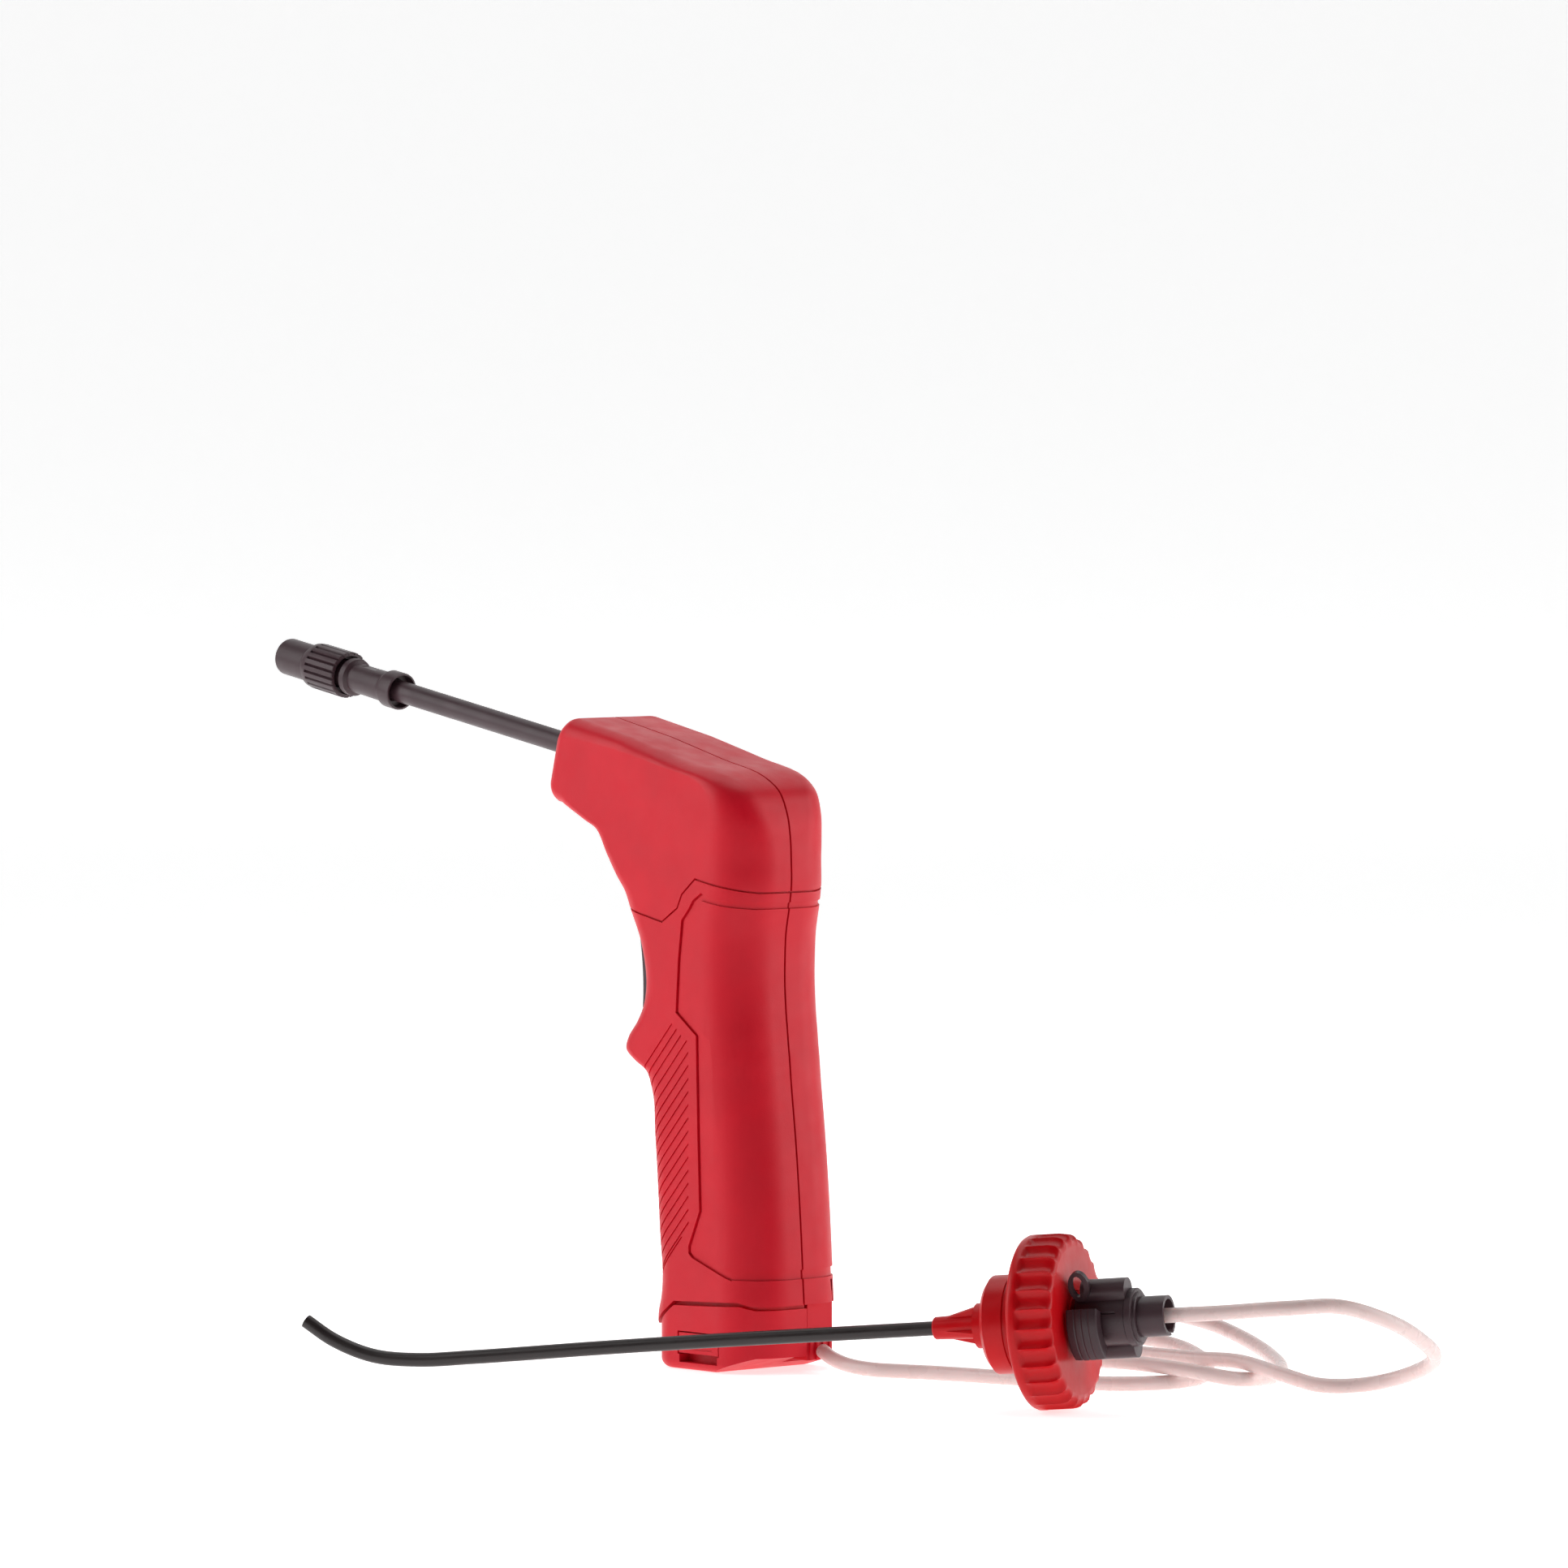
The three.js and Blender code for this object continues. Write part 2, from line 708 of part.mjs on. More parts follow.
function capInsert() {
  const flangeFront = CAP_FACE - 2.6 - GAP;
  const body = turned([
    [-34.6, DIP_TUBE_R + GAP],
    [-34.6, 3.3],
    [-21.6, 3.7],
    [-21, 6.6],
    [-18, 6.6],
    [-16.2, 13.2],
    [-15, 14.4],
    [1.8, 14.4],
    [3.8, 17.5],
    [flangeFront, 17.5],
    [flangeFront, 8.4],
    [CAP_FACE + 0.6, 8.4],
    [CAP_FACE + 0.6, 4],
    [24, 4],
    [24, 1.4],
    [-24, 1.4],
    [-24, DIP_TUBE_R + GAP],
    [-34.6, DIP_TUBE_R + GAP],
  ]);
  const fins = [];
  for (let i = 0; i < 4; i += 1) {
    const fin = sidePlate(
      [
        [-32, 2.9],
        [-20.6, 2.9],
        [-20.6, 6.2],
      ],
      -0.6,
      0.6,
    ).rotateX((i * Math.PI) / 2);
    fins.push(fin);
  }
  return join(body, ...fins);
}

function gasket() {
  return ring(18, 22.3, 4.6, 6.4, 32);
}

function dipTube() {
  return cord(
    [
      [-24.4, 0, 0],
      [-60, 0, 0],
      [-100, 0, 0],
      [-140, 0, -0.3],
      [-180, 0, -0.9],
      [-199, 0, -0.8],
      [-213, 0, 1.2],
      [-225, 0, 6.4],
      [-233.6, 0, 12.6],
    ],
    DIP_TUBE_R,
    36,
    8,
  );
}

// ---------------------------------------------------------- quick connector
// Thin oval loop on the near side of the connector's upper rib.
function tetherLoop() {
  const loop = new THREE.Shape();
  loop.absellipse(13.2, 12, 3.1, 4.6, 0, 2 * Math.PI);
  const eye = new THREE.Path();
  eye.absellipse(13, 12.1, 1.8, 3.2, 0, 2 * Math.PI);
  loop.holes.push(eye);
  const plate = new THREE.ExtrudeGeometry(loop, { depth: 1.8, curveSegments: 12, bevelEnabled: false });
  return plate.rotateX(Math.PI / 2).translate(0, -2.6, 0);
}

function connectorBody() {
  const core = turned([
    [CONNECTOR_REAR, 4.4],
    [CONNECTOR_REAR, 8],
    [SHOULDER, 8],
    [SHOULDER, 8.5],
    [SHOULDER_END - 0.9, 8.5],
    [SHOULDER_END - 0.9, 7.4],
    [SHOULDER_END, 7.2],
    [SHOULDER_END, 5.9],
    [COLLAR_END, 5.9],
    [COLLAR_END, 4.6],
    [COLLAR_END - 4.4, 4.6],
    [COLLAR_END - 4.4, HOSE_R + GAP],
    [25, HOSE_R + GAP],
    [25, 4.4],
    [CONNECTOR_REAR, 4.4],
  ]);
  const ribs = [];
  const holes = [];
  for (const side of [1, -1]) {
    ribs.push(rodX(RIB_R, CONNECTOR_REAR + 2, SHOULDER + 0.1, 0, RIB_OFFSET * side, 20));
    holes.push(rodX(RIB_R - 1, 9, 20, 0, (RIB_OFFSET + 0.5) * side, 16));
  }
  ribs.push(tetherLoop());
  const keepBore = rodX(4.4, 9, 25, 0, 0);
  return cut(join(core, ...ribs), ...holes, keepBore).rotateX(LEVER_TILT);
}

// Squeeze lever on one side of the connector; side 1 is the far one from the
// handle's left, side -1 the near one.
function releaseLever(side) {
  const pad = new THREE.Shape();
  pad.moveTo(10.2, 11);
  pad.lineTo(10.6, 13.6);
  pad.quadraticCurveTo(14, 14.4, LEVER_END - 0.2, 13.4);
  pad.lineTo(LEVER_END, 9.1);
  pad.lineTo(LEVER_END - 2.2, 9.1);
  pad.lineTo(LEVER_END - 2.2, 11.2);
  const settings = { depth: LEVER_WIDTH, curveSegments: 5, bevelEnabled: false };
  const solid = new THREE.ExtrudeGeometry(pad, settings);
  solid.translate(0, 0, -LEVER_WIDTH / 2);
  if (side < 0) solid.rotateX(Math.PI);
  return solid.rotateX(LEVER_TILT);
}

// ---------------------------------------------------------------- assembling
const sprayer = new THREE.Group();

function add(parent, name, geometry, look) {
  const mesh = new THREE.Mesh(geometry, finish(look));
  mesh.name = name;
  parent.add(mesh);
  return mesh;
}

function addHandle() {
  add(sprayer, "housing_left", housingHalf(1), "shell");
  add(sprayer, "housing_right", housingHalf(-1), "shell");
  SCREW_SPOTS.forEach(([x, z], i) => {
    add(sprayer, `housing_screw_${i + 1}`, housingScrew(), "steel").position.set(x, 0, z);
  });
  add(sprayer, "battery_cap", batteryCap(), "shell");
  add(sprayer, "latch_left", latch(1), "shell");
  add(sprayer, "latch_right", latch(-1), "shell");
  add(sprayer, "trigger", trigger(), "dark");
  add(sprayer, "trigger_pin", rodY(PIN_R, -16.4, 16.4, ...TRIGGER_PIVOT, 16), "steel");
  add(sprayer, "trigger_spring", torsionSpring(), "steel");
  add(sprayer, "micro_switch", microSwitch(), "black");
  add(sprayer, "switch_plunger", rodX(1.5, 16, 24.8, 0, SWITCH_Z, 16), "dark");
}

function addDrive() {
  add(sprayer, "motor", motor(), "steel");
  add(sprayer, "pump_body", pumpBody(), "pump");
  add(sprayer, "pump_head", pumpHead(), "dark");
  add(sprayer, "pump_outlet_hose", outletHose(), "hose");
  add(sprayer, "pump_inlet_hose", innerHose(), "hose");
  add(sprayer, "battery_carrier", batteryCarrier(), "black");
  let number = 1;
  for (const sx of [-1, 1]) {
    for (const sy of [-1, 1]) {
      const place = [CELL_X + sx * CELL_PITCH, sy * CELL_PITCH, 0];
      add(sprayer, `battery_${number}`, cell(), "cell").position.set(...place);
      number += 1;
    }
  }
  add(sprayer, "contact_plate_top", contactPlate(72.5), "steel");
  add(sprayer, "contact_plate_bottom", contactPlate(22.2), "steel");
  add(sprayer, "wire_switch", wire(4, [6, 4, 76], [2, 4, 117]), "wire");
  add(sprayer, "wire_motor", wire(9, [0, 9, 76], [-4, 9, 148]), "black");
}

function addWand() {
  const wand = new THREE.Group();
  wand.position.set(...WAND_ROOT);
  wand.rotation.y = -WAND_RISE;
  sprayer.add(wand);
  add(wand, "wand_bush", wandBush(), "dark");
  add(wand, "wand_tube", wandTube(), "dark");
  add(wand, "nozzle_body", nozzleBody(), "dark");
  add(wand, "nozzle_seal", nozzleSeal(), "rubber");
  add(wand, "nozzle_cap", nozzleCap(), "dark");
}

function addSupply() {
  add(sprayer, "hose_spout", hoseSpout(), "shell");
  add(sprayer, "supply_hose", cord(HOSE_ROUTE, HOSE_R, HOSE_STEPS, HOSE_SIDES), "hose");
  const bottle = new THREE.Group();
  const axis = new THREE.Vector3(...CAP_AXIS).normalize();
  const across = new THREE.Vector3(0, 0, 1).cross(axis).normalize();
  const basis = new THREE.Matrix4().makeBasis(axis, across, axis.clone().cross(across));
  bottle.setRotationFromMatrix(basis);
  bottle.position.set(...CAP_CENTRE);
  sprayer.add(bottle);
  add(bottle, "screw_cap", screwCap(), "capRed");
  add(bottle, "cap_insert", capInsert(), "capRed");
  add(bottle, "cap_gasket", gasket(), "rubber");
  add(bottle, "dip_tube", dipTube(), "black");
  add(bottle, "connector_body", connectorBody(), "dark");
  add(bottle, "release_lever_front", releaseLever(-1), "dark");
  add(bottle, "release_lever_back", releaseLever(1), "dark");
}

addHandle();
addDrive();
addWand();
addSupply();

export default sprayer;
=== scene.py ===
"""Looks of the battery wand sprayer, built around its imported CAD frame.

Sizes are in millimetres and become metres where a mesh is made. +X is the
spraying direction, +Y the tool's left side and +Z up, as in the CAD model.
"""

import json
import math

import bmesh
import bpy
from mathutils import Matrix, Vector


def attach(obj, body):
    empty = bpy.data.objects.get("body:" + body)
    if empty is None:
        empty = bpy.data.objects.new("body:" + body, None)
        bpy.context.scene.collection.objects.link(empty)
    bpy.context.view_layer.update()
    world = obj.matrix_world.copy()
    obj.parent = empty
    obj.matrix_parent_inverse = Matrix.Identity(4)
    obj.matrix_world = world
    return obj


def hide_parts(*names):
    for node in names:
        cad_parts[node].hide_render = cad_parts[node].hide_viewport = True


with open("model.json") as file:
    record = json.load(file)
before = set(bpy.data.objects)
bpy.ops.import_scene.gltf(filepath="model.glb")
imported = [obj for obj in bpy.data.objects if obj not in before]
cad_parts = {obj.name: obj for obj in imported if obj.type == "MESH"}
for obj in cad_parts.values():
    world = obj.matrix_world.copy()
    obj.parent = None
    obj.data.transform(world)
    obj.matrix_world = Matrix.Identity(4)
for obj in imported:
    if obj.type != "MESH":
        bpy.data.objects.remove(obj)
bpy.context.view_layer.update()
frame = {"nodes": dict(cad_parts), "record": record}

MM = 0.001

# ------------------------------------------------------------------ dimensions
HALF_WIDTH = 20.5
WALL = 2.2
POST_INSET = 1
SEAM_GAP = 0.3
ACROSS = 30  # reach of a cutter to each side of the middle plane
FACE_LEAN = math.radians(14)
FACE_FOOT = (70.2, 171.9)
FACE_HEIGHT = 25.3
FACE_ROUND = 6

WAND_RISE = math.radians(10)
WAND_ROOT = (67, 0, 183.6)
WAND_PLACE = Matrix.Translation(WAND_ROOT) @ Matrix.Rotation(-WAND_RISE, 4, "Y")
WAND_R = 3.4
WAND_BORE = 2.2
WAND_ENDS = (-19, 101)
NOZZLE_REAR = 95.8
BARREL_FRONT = 118
FLANGE_FRONT = 120.3
RING_REAR = 122
NECK_FRONT = 124.6
SPIGOT_FRONT = 134
RING_FRONT = 139.3
NOZZLE_TIP = 153

HOSE_R = 2.2
CAP_CENTRE = (-153, 19, 25.9)
CAP_AXIS = (-0.885, -0.457, 0.087)
CAP_OPEN_END = -4
CAP_FACE = 9.5
FLUTES = 28
LEVER_TILT = math.radians(18)
LEVER_END = 19.8
CONNECTOR_REAR = 11
SHOULDER = 26.3
SHOULDER_END = 29.3
COLLAR_END = 37.4
RIB_R = 3.9
RIB_OFFSET = 8.4
DIP_TUBE_R = 2.1

# Handle outline, station by station from the foot up and over into the head:
# front X, front Z, back X, back Z, front corner radius, back corner radius.
HANDLE = [
    (21.7, 11, -26.9, 11, 9, 15),
    (21.5, 17, -26.9, 17, 9, 15),
    (20.4, 21, -26.9, 21, 9, 15),
    (19.8, 26, -26.6, 26, 9, 15),
    (20.9, 40.6, -25.7, 41, 9, 15),
    (23.1, 70, -23.1, 71, 9, 15),
    (24.5, 84.6, -21.2, 87, 8.5, 15),
    (26.7, 89.4, -20.7, 92, 8, 15),
    (31.4, 92.4, -20.4, 95, 7, 15),
    (34.4, 95.4, -20, 98, 6, 15),
    (34.2, 98.9, -19.6, 102, 7, 15),
    (30.9, 104, -19, 107, 8.5, 15),
    (28.3, 109, -18.6, 112, 9, 15),
    (27.1, 115, -18.3, 118, 9, 15),
    (27.6, 121, -18.4, 125, 9, 15),
    (29.7, 128.6, -18.8, 132, 9, 15),
    (34.2, 138.3, -20.6, 141.5, 8.5, 15),
    (36.2, 143.1, -21.3, 147, 8, 15),
    (39.6, 147.9, -21.2, 154, 7, 15),
    (43.6, 154.5, -20.8, 161, 6, 14),
    (47.6, 161.6, -19.2, 168.6, 5, 12),
    (52.3, 164, -15.8, 174.8, 4.5, 10),
    (56, 165.7, -9.5, 178.8, 4.5, 8),
    (61, 168, 10, 183.8, 4.5, 6.5),
    (63.6, 169.2, 33, 189.7, 4.5, 6),
]

SCREW_SPOTS = [(8, 84), (4, 138), (2, 175.3), (30, 181)]
POST_R = 4.2
POST_END = 19.2
SCREW_HEAD_R = 3.3
SCREW_HEAD_SEAT = 9
PILOT_R = 1.5
PILOT_END = 9

# Parting line between housing and battery cap, and the cap's underside.
PARTING = [(40, 12.2), (20.2, 12.2), (9.2, 20), (-18, 21.2), (-22, 20), (-40, 20)]
PARTING_GAP = 1.3
FOOT_RELIEF = [(-7, -5), (-7, 0), (-16, 2.9), (-22, 4.9), (-40, 5.3), (-40, -5)]

# Lines and fields on the sides of the handle, in XZ, the same on both sides.
SHOULDER_LINE = [
    (42, 140.7),
    (14.4, 135),
    (7.5, 139.4),
    (5.3, 143.7),
    (-0.6, 148.5),
    (-11.8, 146.4),
    (-20, 144.7),
    (-40, 144.4),
]
PANEL_LINE = [
    (-3.6, 144.2),
    (0.1, 142),
    (2, 139.4),
    (5.3, 135.8),
    (6.8, 124),
    (7.9, 108),
    (-1.3, 101.4),
    (-2, 71.1),
    (-2.8, 48.4),
    (2.1, 37.6),
    (2.1, 35.6),
    (0.6, 34.4),
    (-16.3, 28.5),
]
PANEL_TOP_EDGE = [(-40, 141.2), (-18.7, 141.6), (-12, 142.4), (-7, 143.4)]
PANEL_FOOT_EDGE = [(-40, 28.3)]
RAISED_FIELD = [
    (-3.7, 142),
    (2.3, 137),
    (3.9, 134.2),
    (5.7, 121.5),
    (5.7, 109.6),
    (-6.4, 100.2),
    (-7.7, 97.8),
    (-8.9, 71.5),
    (-8.9, 64.2),
    (-5, 61.5),
    (-5.5, 49.1),
    (-1.1, 38.7),
    (-1.5, 36.8),
    (-14.8, 31.3),
    (-40, 31.1),
    (-40, 139.1),
    (-18.5, 139.7),
    (-12, 140.5),
]
RIB_PITCH = 3.95
RIB_SLOPE = 1.08  # rise for each millimetre towards the back
RIB_COUNT = 13
RIB_WIDTH = 0.55
RIB_FRONT = 34  # X where the grooves end, in front of the grip
RIB_DEPTH = 0.4
LEDGE_DEPTH = 0.55
LINE_WIDTH = 0.6
LINE_DEPTH = 0.95
SEAM_HALF = 0.35

# Supply hose, from the spout at the back of the foot to the quick connector.
HOSE_ROUTE = [
    (-26.5, -8, 6.2),
    (-33, -6, 4.6),
    (-41.5, -5, 3.2),
    (-50.5, -6.5, 2.5),
    (-59, -10, 2.4),
    (-68.5, -14, 2.4),
    (-80.5, -17.5, 2.4),
    (-96, -21.5, 2.4),
    (-113.5, -26, 2.4),
    (-128, -33, 2.4),
    (-135, -46, 2.4),
    (-132.5, -62, 2.4),
    (-121, -77.5, 3),
    (-104.5, -90.5, 4.6),
    (-85.5, -98, 6.4),
    (-66.5, -97.5, 7.7),
    (-52.5, -88.5, 7.8),
    (-48, -72.5, 7.8),
    (-54, -55.5, 7.8),
    (-68, -43, 7.8),
    (-87.5, -37, 7.8),
    (-108, -37.5, 7.8),
    (-126.5, -42, 7.8),
    (-140, -50, 6.2),
    (-147.5, -63.5, 3.2),
    (-145.5, -79.5, 2.5),
    (-135.5, -94, 3.2),
    (-118.5, -106.5, 5),
    (-97.5, -116, 8),
    (-76.5, -121, 11),
    (-56.5, -120, 13),
    (-40, -112.5, 13.6),
    (-30, -99.5, 13.4),
    (-29.5, -83.5, 13),
    (-39, -69, 12.9),
    (-56, -60, 12.6),
    (-75, -57.5, 10.4),
    (-94, -59.5, 8.6),
    (-112, -62, 8),
    (-128.5, -65, 7.8),
    (-144.5, -68, 7.8),
    (-159.5, -70.5, 5),
    (-172.5, -73.5, 2.6),
    (-184, -80.5, 3.2),
    (-197.5, -84.5, 6.8),
    (-213.5, -79.5, 13),
    (-224.5, -61, 21.4),
    (-228, -45, 27.6),
    (-224.5, -29, 32.4),
    (-216.5, -17, 32.2),
    (-199, -5, 30.3),
    (-190, 0, 29.5),
    (-182.7, 3.7, 28.8),
]
DIP_ROUTE = [
    (-24.4, 0, 0),
    (-60, 0, 0),
    (-100, 0, 0),
    (-140, 0, -0.3),
    (-180, 0, -0.9),
    (-199, 0, -0.8),
    (-213, 0, 1.2),
    (-225, 0, 6.4),
    (-233.6, 0, 12.6),
]

# -------------------------------------------------------------- view and light
CAMERA_AZIMUTH = math.radians(228)
CAMERA_RISE = math.radians(2.5)
CAMERA_DISTANCE = 3.0
HALF_VIEW = 0.0789  # tangent of half the field of view
SENSOR = 36.0
SCREEN_RIGHT = Vector((math.cos(CAMERA_AZIMUTH), math.sin(CAMERA_AZIMUTH), 0))
TOWARDS_CAMERA = Vector((math.sin(CAMERA_AZIMUTH), -math.cos(CAMERA_AZIMUTH), 0))
TARGET = SCREEN_RIGHT * 0.012 + Vector((0, 0, 0.1765))

# Soft lights: name, place to the right, nearer and up, size, power.
LIGHTS = [
    ("left", (-1.3, 0.1, 0.75), (1.0, 1.2), 11),
    ("right", (1.3, -0.05, 0.55), (1.0, 1.2), 10),
    ("top", (0, -0.4, 1.5), (1.2, 1.0), 7),
]
LIGHT_TARGET = (0, 0, 0.1)
WORLD_STRENGTH = 0.06
STAGE_GLOW = 0.68


def aim(thing, place, target):
    thing.location = place
    way = Vector(target) - Vector(place)
    thing.rotation_euler = way.to_track_quat("-Z", "Y").to_euler()


def make_camera():
    data = bpy.data.cameras.new("camera")
    data.sensor_width = SENSOR
    data.lens = SENSOR / 2 / HALF_VIEW
    data.clip_end = 50
    camera = bpy.data.objects.new("camera", data)
    bpy.context.scene.collection.objects.link(camera)
    away = TOWARDS_CAMERA * math.cos(CAMERA_RISE) + Vector((0, 0, math.sin(CAMERA_RISE)))
    aim(camera, TARGET + away * CAMERA_DISTANCE, TARGET)
    bpy.context.scene.camera = camera


def area_light(name, place, size, power):
    data = bpy.data.lights.new(name, "AREA")
    data.shape = "RECTANGLE"
    data.size, data.size_y = size
    data.energy = power
    light = bpy.data.objects.new(name, data)
    bpy.context.scene.collection.objects.link(light)
    aim(light, place, LIGHT_TARGET)


def make_lights():
    for name, (right, near, up), size, power in LIGHTS:
        place = SCREEN_RIGHT * right + TOWARDS_CAMERA * near + Vector((0, 0, up))
        area_light(name, place, size, power)
    world = bpy.data.worlds.new("studio")
    world.use_nodes = True
    background = world.node_tree.nodes["Background"]
    background.inputs["Color"].default_value = (1, 1, 1, 1)
    background.inputs["Strength"].default_value = WORLD_STRENGTH
    bpy.context.scene.world = world
    bpy.context.scene.view_settings.view_transform = "Standard"


# ------------------------------------------------------------------- materials
def new_material(name):
    material = bpy.data.materials.new(name)
    material.use_nodes = True
    nodes = material.node_tree.nodes
    return material, nodes, material.node_tree.links, nodes["Principled BSDF"]


def noise(nodes, links, size_mm, detail=2.0, stretch=(1, 1, 1)):
    """Noise whose blotches are about size_mm across, in the object's own space."""
    place = nodes.new("ShaderNodeTexCoord")
    mapping = nodes.new("ShaderNodeMapping")
    mapping.inputs["Scale"].default_value = stretch
    texture = nodes.new("ShaderNodeTexNoise")
    texture.inputs["Scale"].default_value = 1 / (size_mm * MM)
    texture.inputs["Detail"].default_value = detail
    links.new(place.outputs["Object"], mapping.inputs["Vector"])
    links.new(mapping.outputs["Vector"], texture.inputs["Vector"])
    return texture.outputs["Fac"]


def spread(nodes, links, source, low, high):
    """Source, which runs from about 0.3 to 0.7, spread from low to high."""
    remap = nodes.new("ShaderNodeMapRange")
    remap.inputs["From Min"].default_value = 0.3
    remap.inputs["From Max"].default_value = 0.7
    remap.inputs["To Min"].default_value = low
    remap.inputs["To Max"].default_value = high
    links.new(source, remap.inputs["Value"])
    return remap.outputs["Result"]


def mottle(nodes, links, shader, colour, size_mm, amount):
    """Base colour that drifts a little lighter and darker over the piece."""
    mix = nodes.new("ShaderNodeMix")
    mix.data_type = "RGBA"
    mix.inputs["A"].default_value = (*[c * (1 - amount) for c in colour], 1)
    mix.inputs["B"].default_value = (*[min(1, c * (1 + amount)) for c in colour], 1)
    drift = spread(nodes, links, noise(nodes, links, size_mm, 3), 0, 1)
    links.new(drift, mix.inputs["Factor"])
    links.new(mix.outputs["Result"], shader.inputs["Base Color"])


def bump(nodes, links, shader, height, depth_mm):
    node = nodes.new("ShaderNodeBump")
    node.inputs["Strength"].default_value = 1.0
    node.inputs["Distance"].default_value = depth_mm * MM
    links.new(height, node.inputs["Height"])
    links.new(node.outputs["Normal"], shader.inputs["Normal"])


def plastic(name, colour, rough, grain_mm, grain_depth, drift, skin=0.0, shine=0.5):
    """Moulded plastic: fine grain, slow colour drift and uneven gloss.

    skin is how much light goes under the surface, shine how much it reflects."""
    material, nodes, links, shader = new_material(name)
    mottle(nodes, links, shader, colour, 14, drift)
    gloss = noise(nodes, links, 6, 4)
    uneven = spread(nodes, links, gloss, rough - 0.05, rough + 0.07)
    links.new(uneven, shader.inputs["Roughness"])
    bump(nodes, links, shader, noise(nodes, links, grain_mm, 3), grain_depth)
    shader.inputs["Subsurface Weight"].default_value = skin
    shader.inputs["Subsurface Radius"].default_value = (2.5 * MM, 1.2 * MM, 1.0 * MM)
    shader.inputs["Subsurface Scale"].default_value = 1.0
    shader.inputs["Specular IOR Level"].default_value = shine
    return material


def metal(name, colour, rough):
    """Bright metal with fine drawn lines across Z."""
    material, nodes, links, shader = new_material(name)
    shader.inputs["Metallic"].default_value = 1
    mottle(nodes, links, shader, colour, 5, 0.08)
    lines = noise(nodes, links, 1.2, 4, (1, 1, 12))
    uneven = spread(nodes, links, lines, rough - 0.08, rough + 0.1)
    links.new(uneven, shader.inputs["Roughness"])
    bump(nodes, links, shader, lines, 0.02)
    return material


def stage_material():
    material, nodes, links, shader = new_material("pale_floor")
    mottle(nodes, links, shader, (0.93, 0.93, 0.93), 400, 0.005)
    shader.inputs["Roughness"].default_value = 0.9
    shader.inputs["Emission Color"].default_value = (1, 1, 1, 1)
    shader.inputs["Emission Strength"].default_value = STAGE_GLOW
    return material


# Plastics: name, colour, roughness, size and depth of the grain, colour drift.
MATERIALS = {
    "shell_red": plastic(
        "moulded_red", (0.63, 0.004, 0.018), 0.42, 0.45, 0.03, 0.05, shine=0.28
    ),
    "dark_plastic": plastic(
        "moulded_dark", (0.05, 0.025, 0.031), 0.38, 0.3, 0.012, 0.12, shine=0.4
    ),
    "cap_red": plastic(
        "cap_red", (0.56, 0.001, 0.005), 0.34, 0.9, 0.02, 0.08, shine=0.25
    ),
    "black_plastic": plastic(
        "extruded_black", (0.016, 0.01, 0.01), 0.38, 0.3, 0.01, 0.15
    ),
    "hose_clear": plastic(
        "milky_vinyl", (0.76, 0.6, 0.58), 0.28, 1.2, 0.01, 0.03, skin=0.3
    ),
    "rubber_seal": plastic("seal_rubber", (0.02, 0.02, 0.02), 0.75, 0.2, 0.02, 0.1),
    "steel": metal("drawn_steel", (0.62, 0.62, 0.64), 0.3),
    "cell_jacket": plastic("cell_jacket", (0.035, 0.055, 0.09), 0.3, 2.0, 0.01, 0.1),
    "pump_white": plastic("acetal", (0.72, 0.71, 0.66), 0.45, 0.4, 0.015, 0.03, skin=0.2),
    "wire_red": plastic("wire_vinyl", (0.45, 0.012, 0.02), 0.4, 0.4, 0.01, 0.05),
}


# ---------------------------------------------------------------- mesh helpers
def new_object(name, mesh):
    thing = bpy.data.objects.new(name, mesh)
    bpy.context.scene.collection.objects.link(thing)
    return thing


def solid(name, points, faces, place=None):
    """Closed mesh from points in millimetres, its faces turned outwards."""
    place = place or Matrix.Identity(4)
    mesh = bpy.data.meshes.new(name)
    mesh.from_pydata([(place @ Vector(p)) * MM for p in points], [], faces)
    work = bmesh.new()
    work.from_mesh(mesh)
    bmesh.ops.recalc_face_normals(work, faces=work.faces)
    work.to_mesh(mesh)
    work.free()
    return new_object(name, mesh)


def loft(name, rings, place=None):
    """Skin over rings of equal length, closed at both ends."""
    count = len(rings[0])
    points = [p for ring in rings for p in ring]
    faces = [tuple(range(count))[::-1], tuple(range(len(points) - count, len(points)))]
    for r in range(len(rings) - 1):
        for i in range(count):
            j = (i + 1) % count
            a, b = r * count, (r + 1) * count
            faces.append((a + i, a + j, b + j, b + i))
    return solid(name, points, faces, place)


def turned(name, profile, place, sides=96, wave=None):
    """Piece turned round X from a closed profile of (x, radius) pairs.

    wave(k, angle) may add to the radius of profile point k."""
    points = []
    faces = []
    count = len(profile)
    for s in range(sides):
        angle = 2 * math.pi * s / sides
        for k, (x, r) in enumerate(profile):
            radius = r + (wave(k, angle) if wave else 0)
            points.append((x, radius * math.cos(angle), radius * math.sin(angle)))
    for s in range(sides):
        t = (s + 1) % sides
        for k in range(count):
            m = (k + 1) % count
            faces.append((s * count + k, s * count + m, t * count + m, t * count + k))
    return solid(name, points, faces, place)


def prism(name, outline, low, high, place=None):
    """XZ outline standing from one Y to another."""
    rings = [[(x, depth, z) for x, z in outline] for depth in (low, high)]
    return loft(name, rings, place)


def block(name, low, high, place=None):
    outline = [(low[0], low[2]), (high[0], low[2]), (high[0], high[2]), (low[0], high[2])]
    return prism(name, outline, low[1], high[1], place)


def side_block(name, side, low, high):
    """Block on one side of the middle plane, from its inner to its outer Y."""
    y0, y1 = (low[1], high[1]) if side > 0 else (-high[1], -low[1])
    return block(name, (low[0], y0, low[2]), (high[0], y1, high[2]))


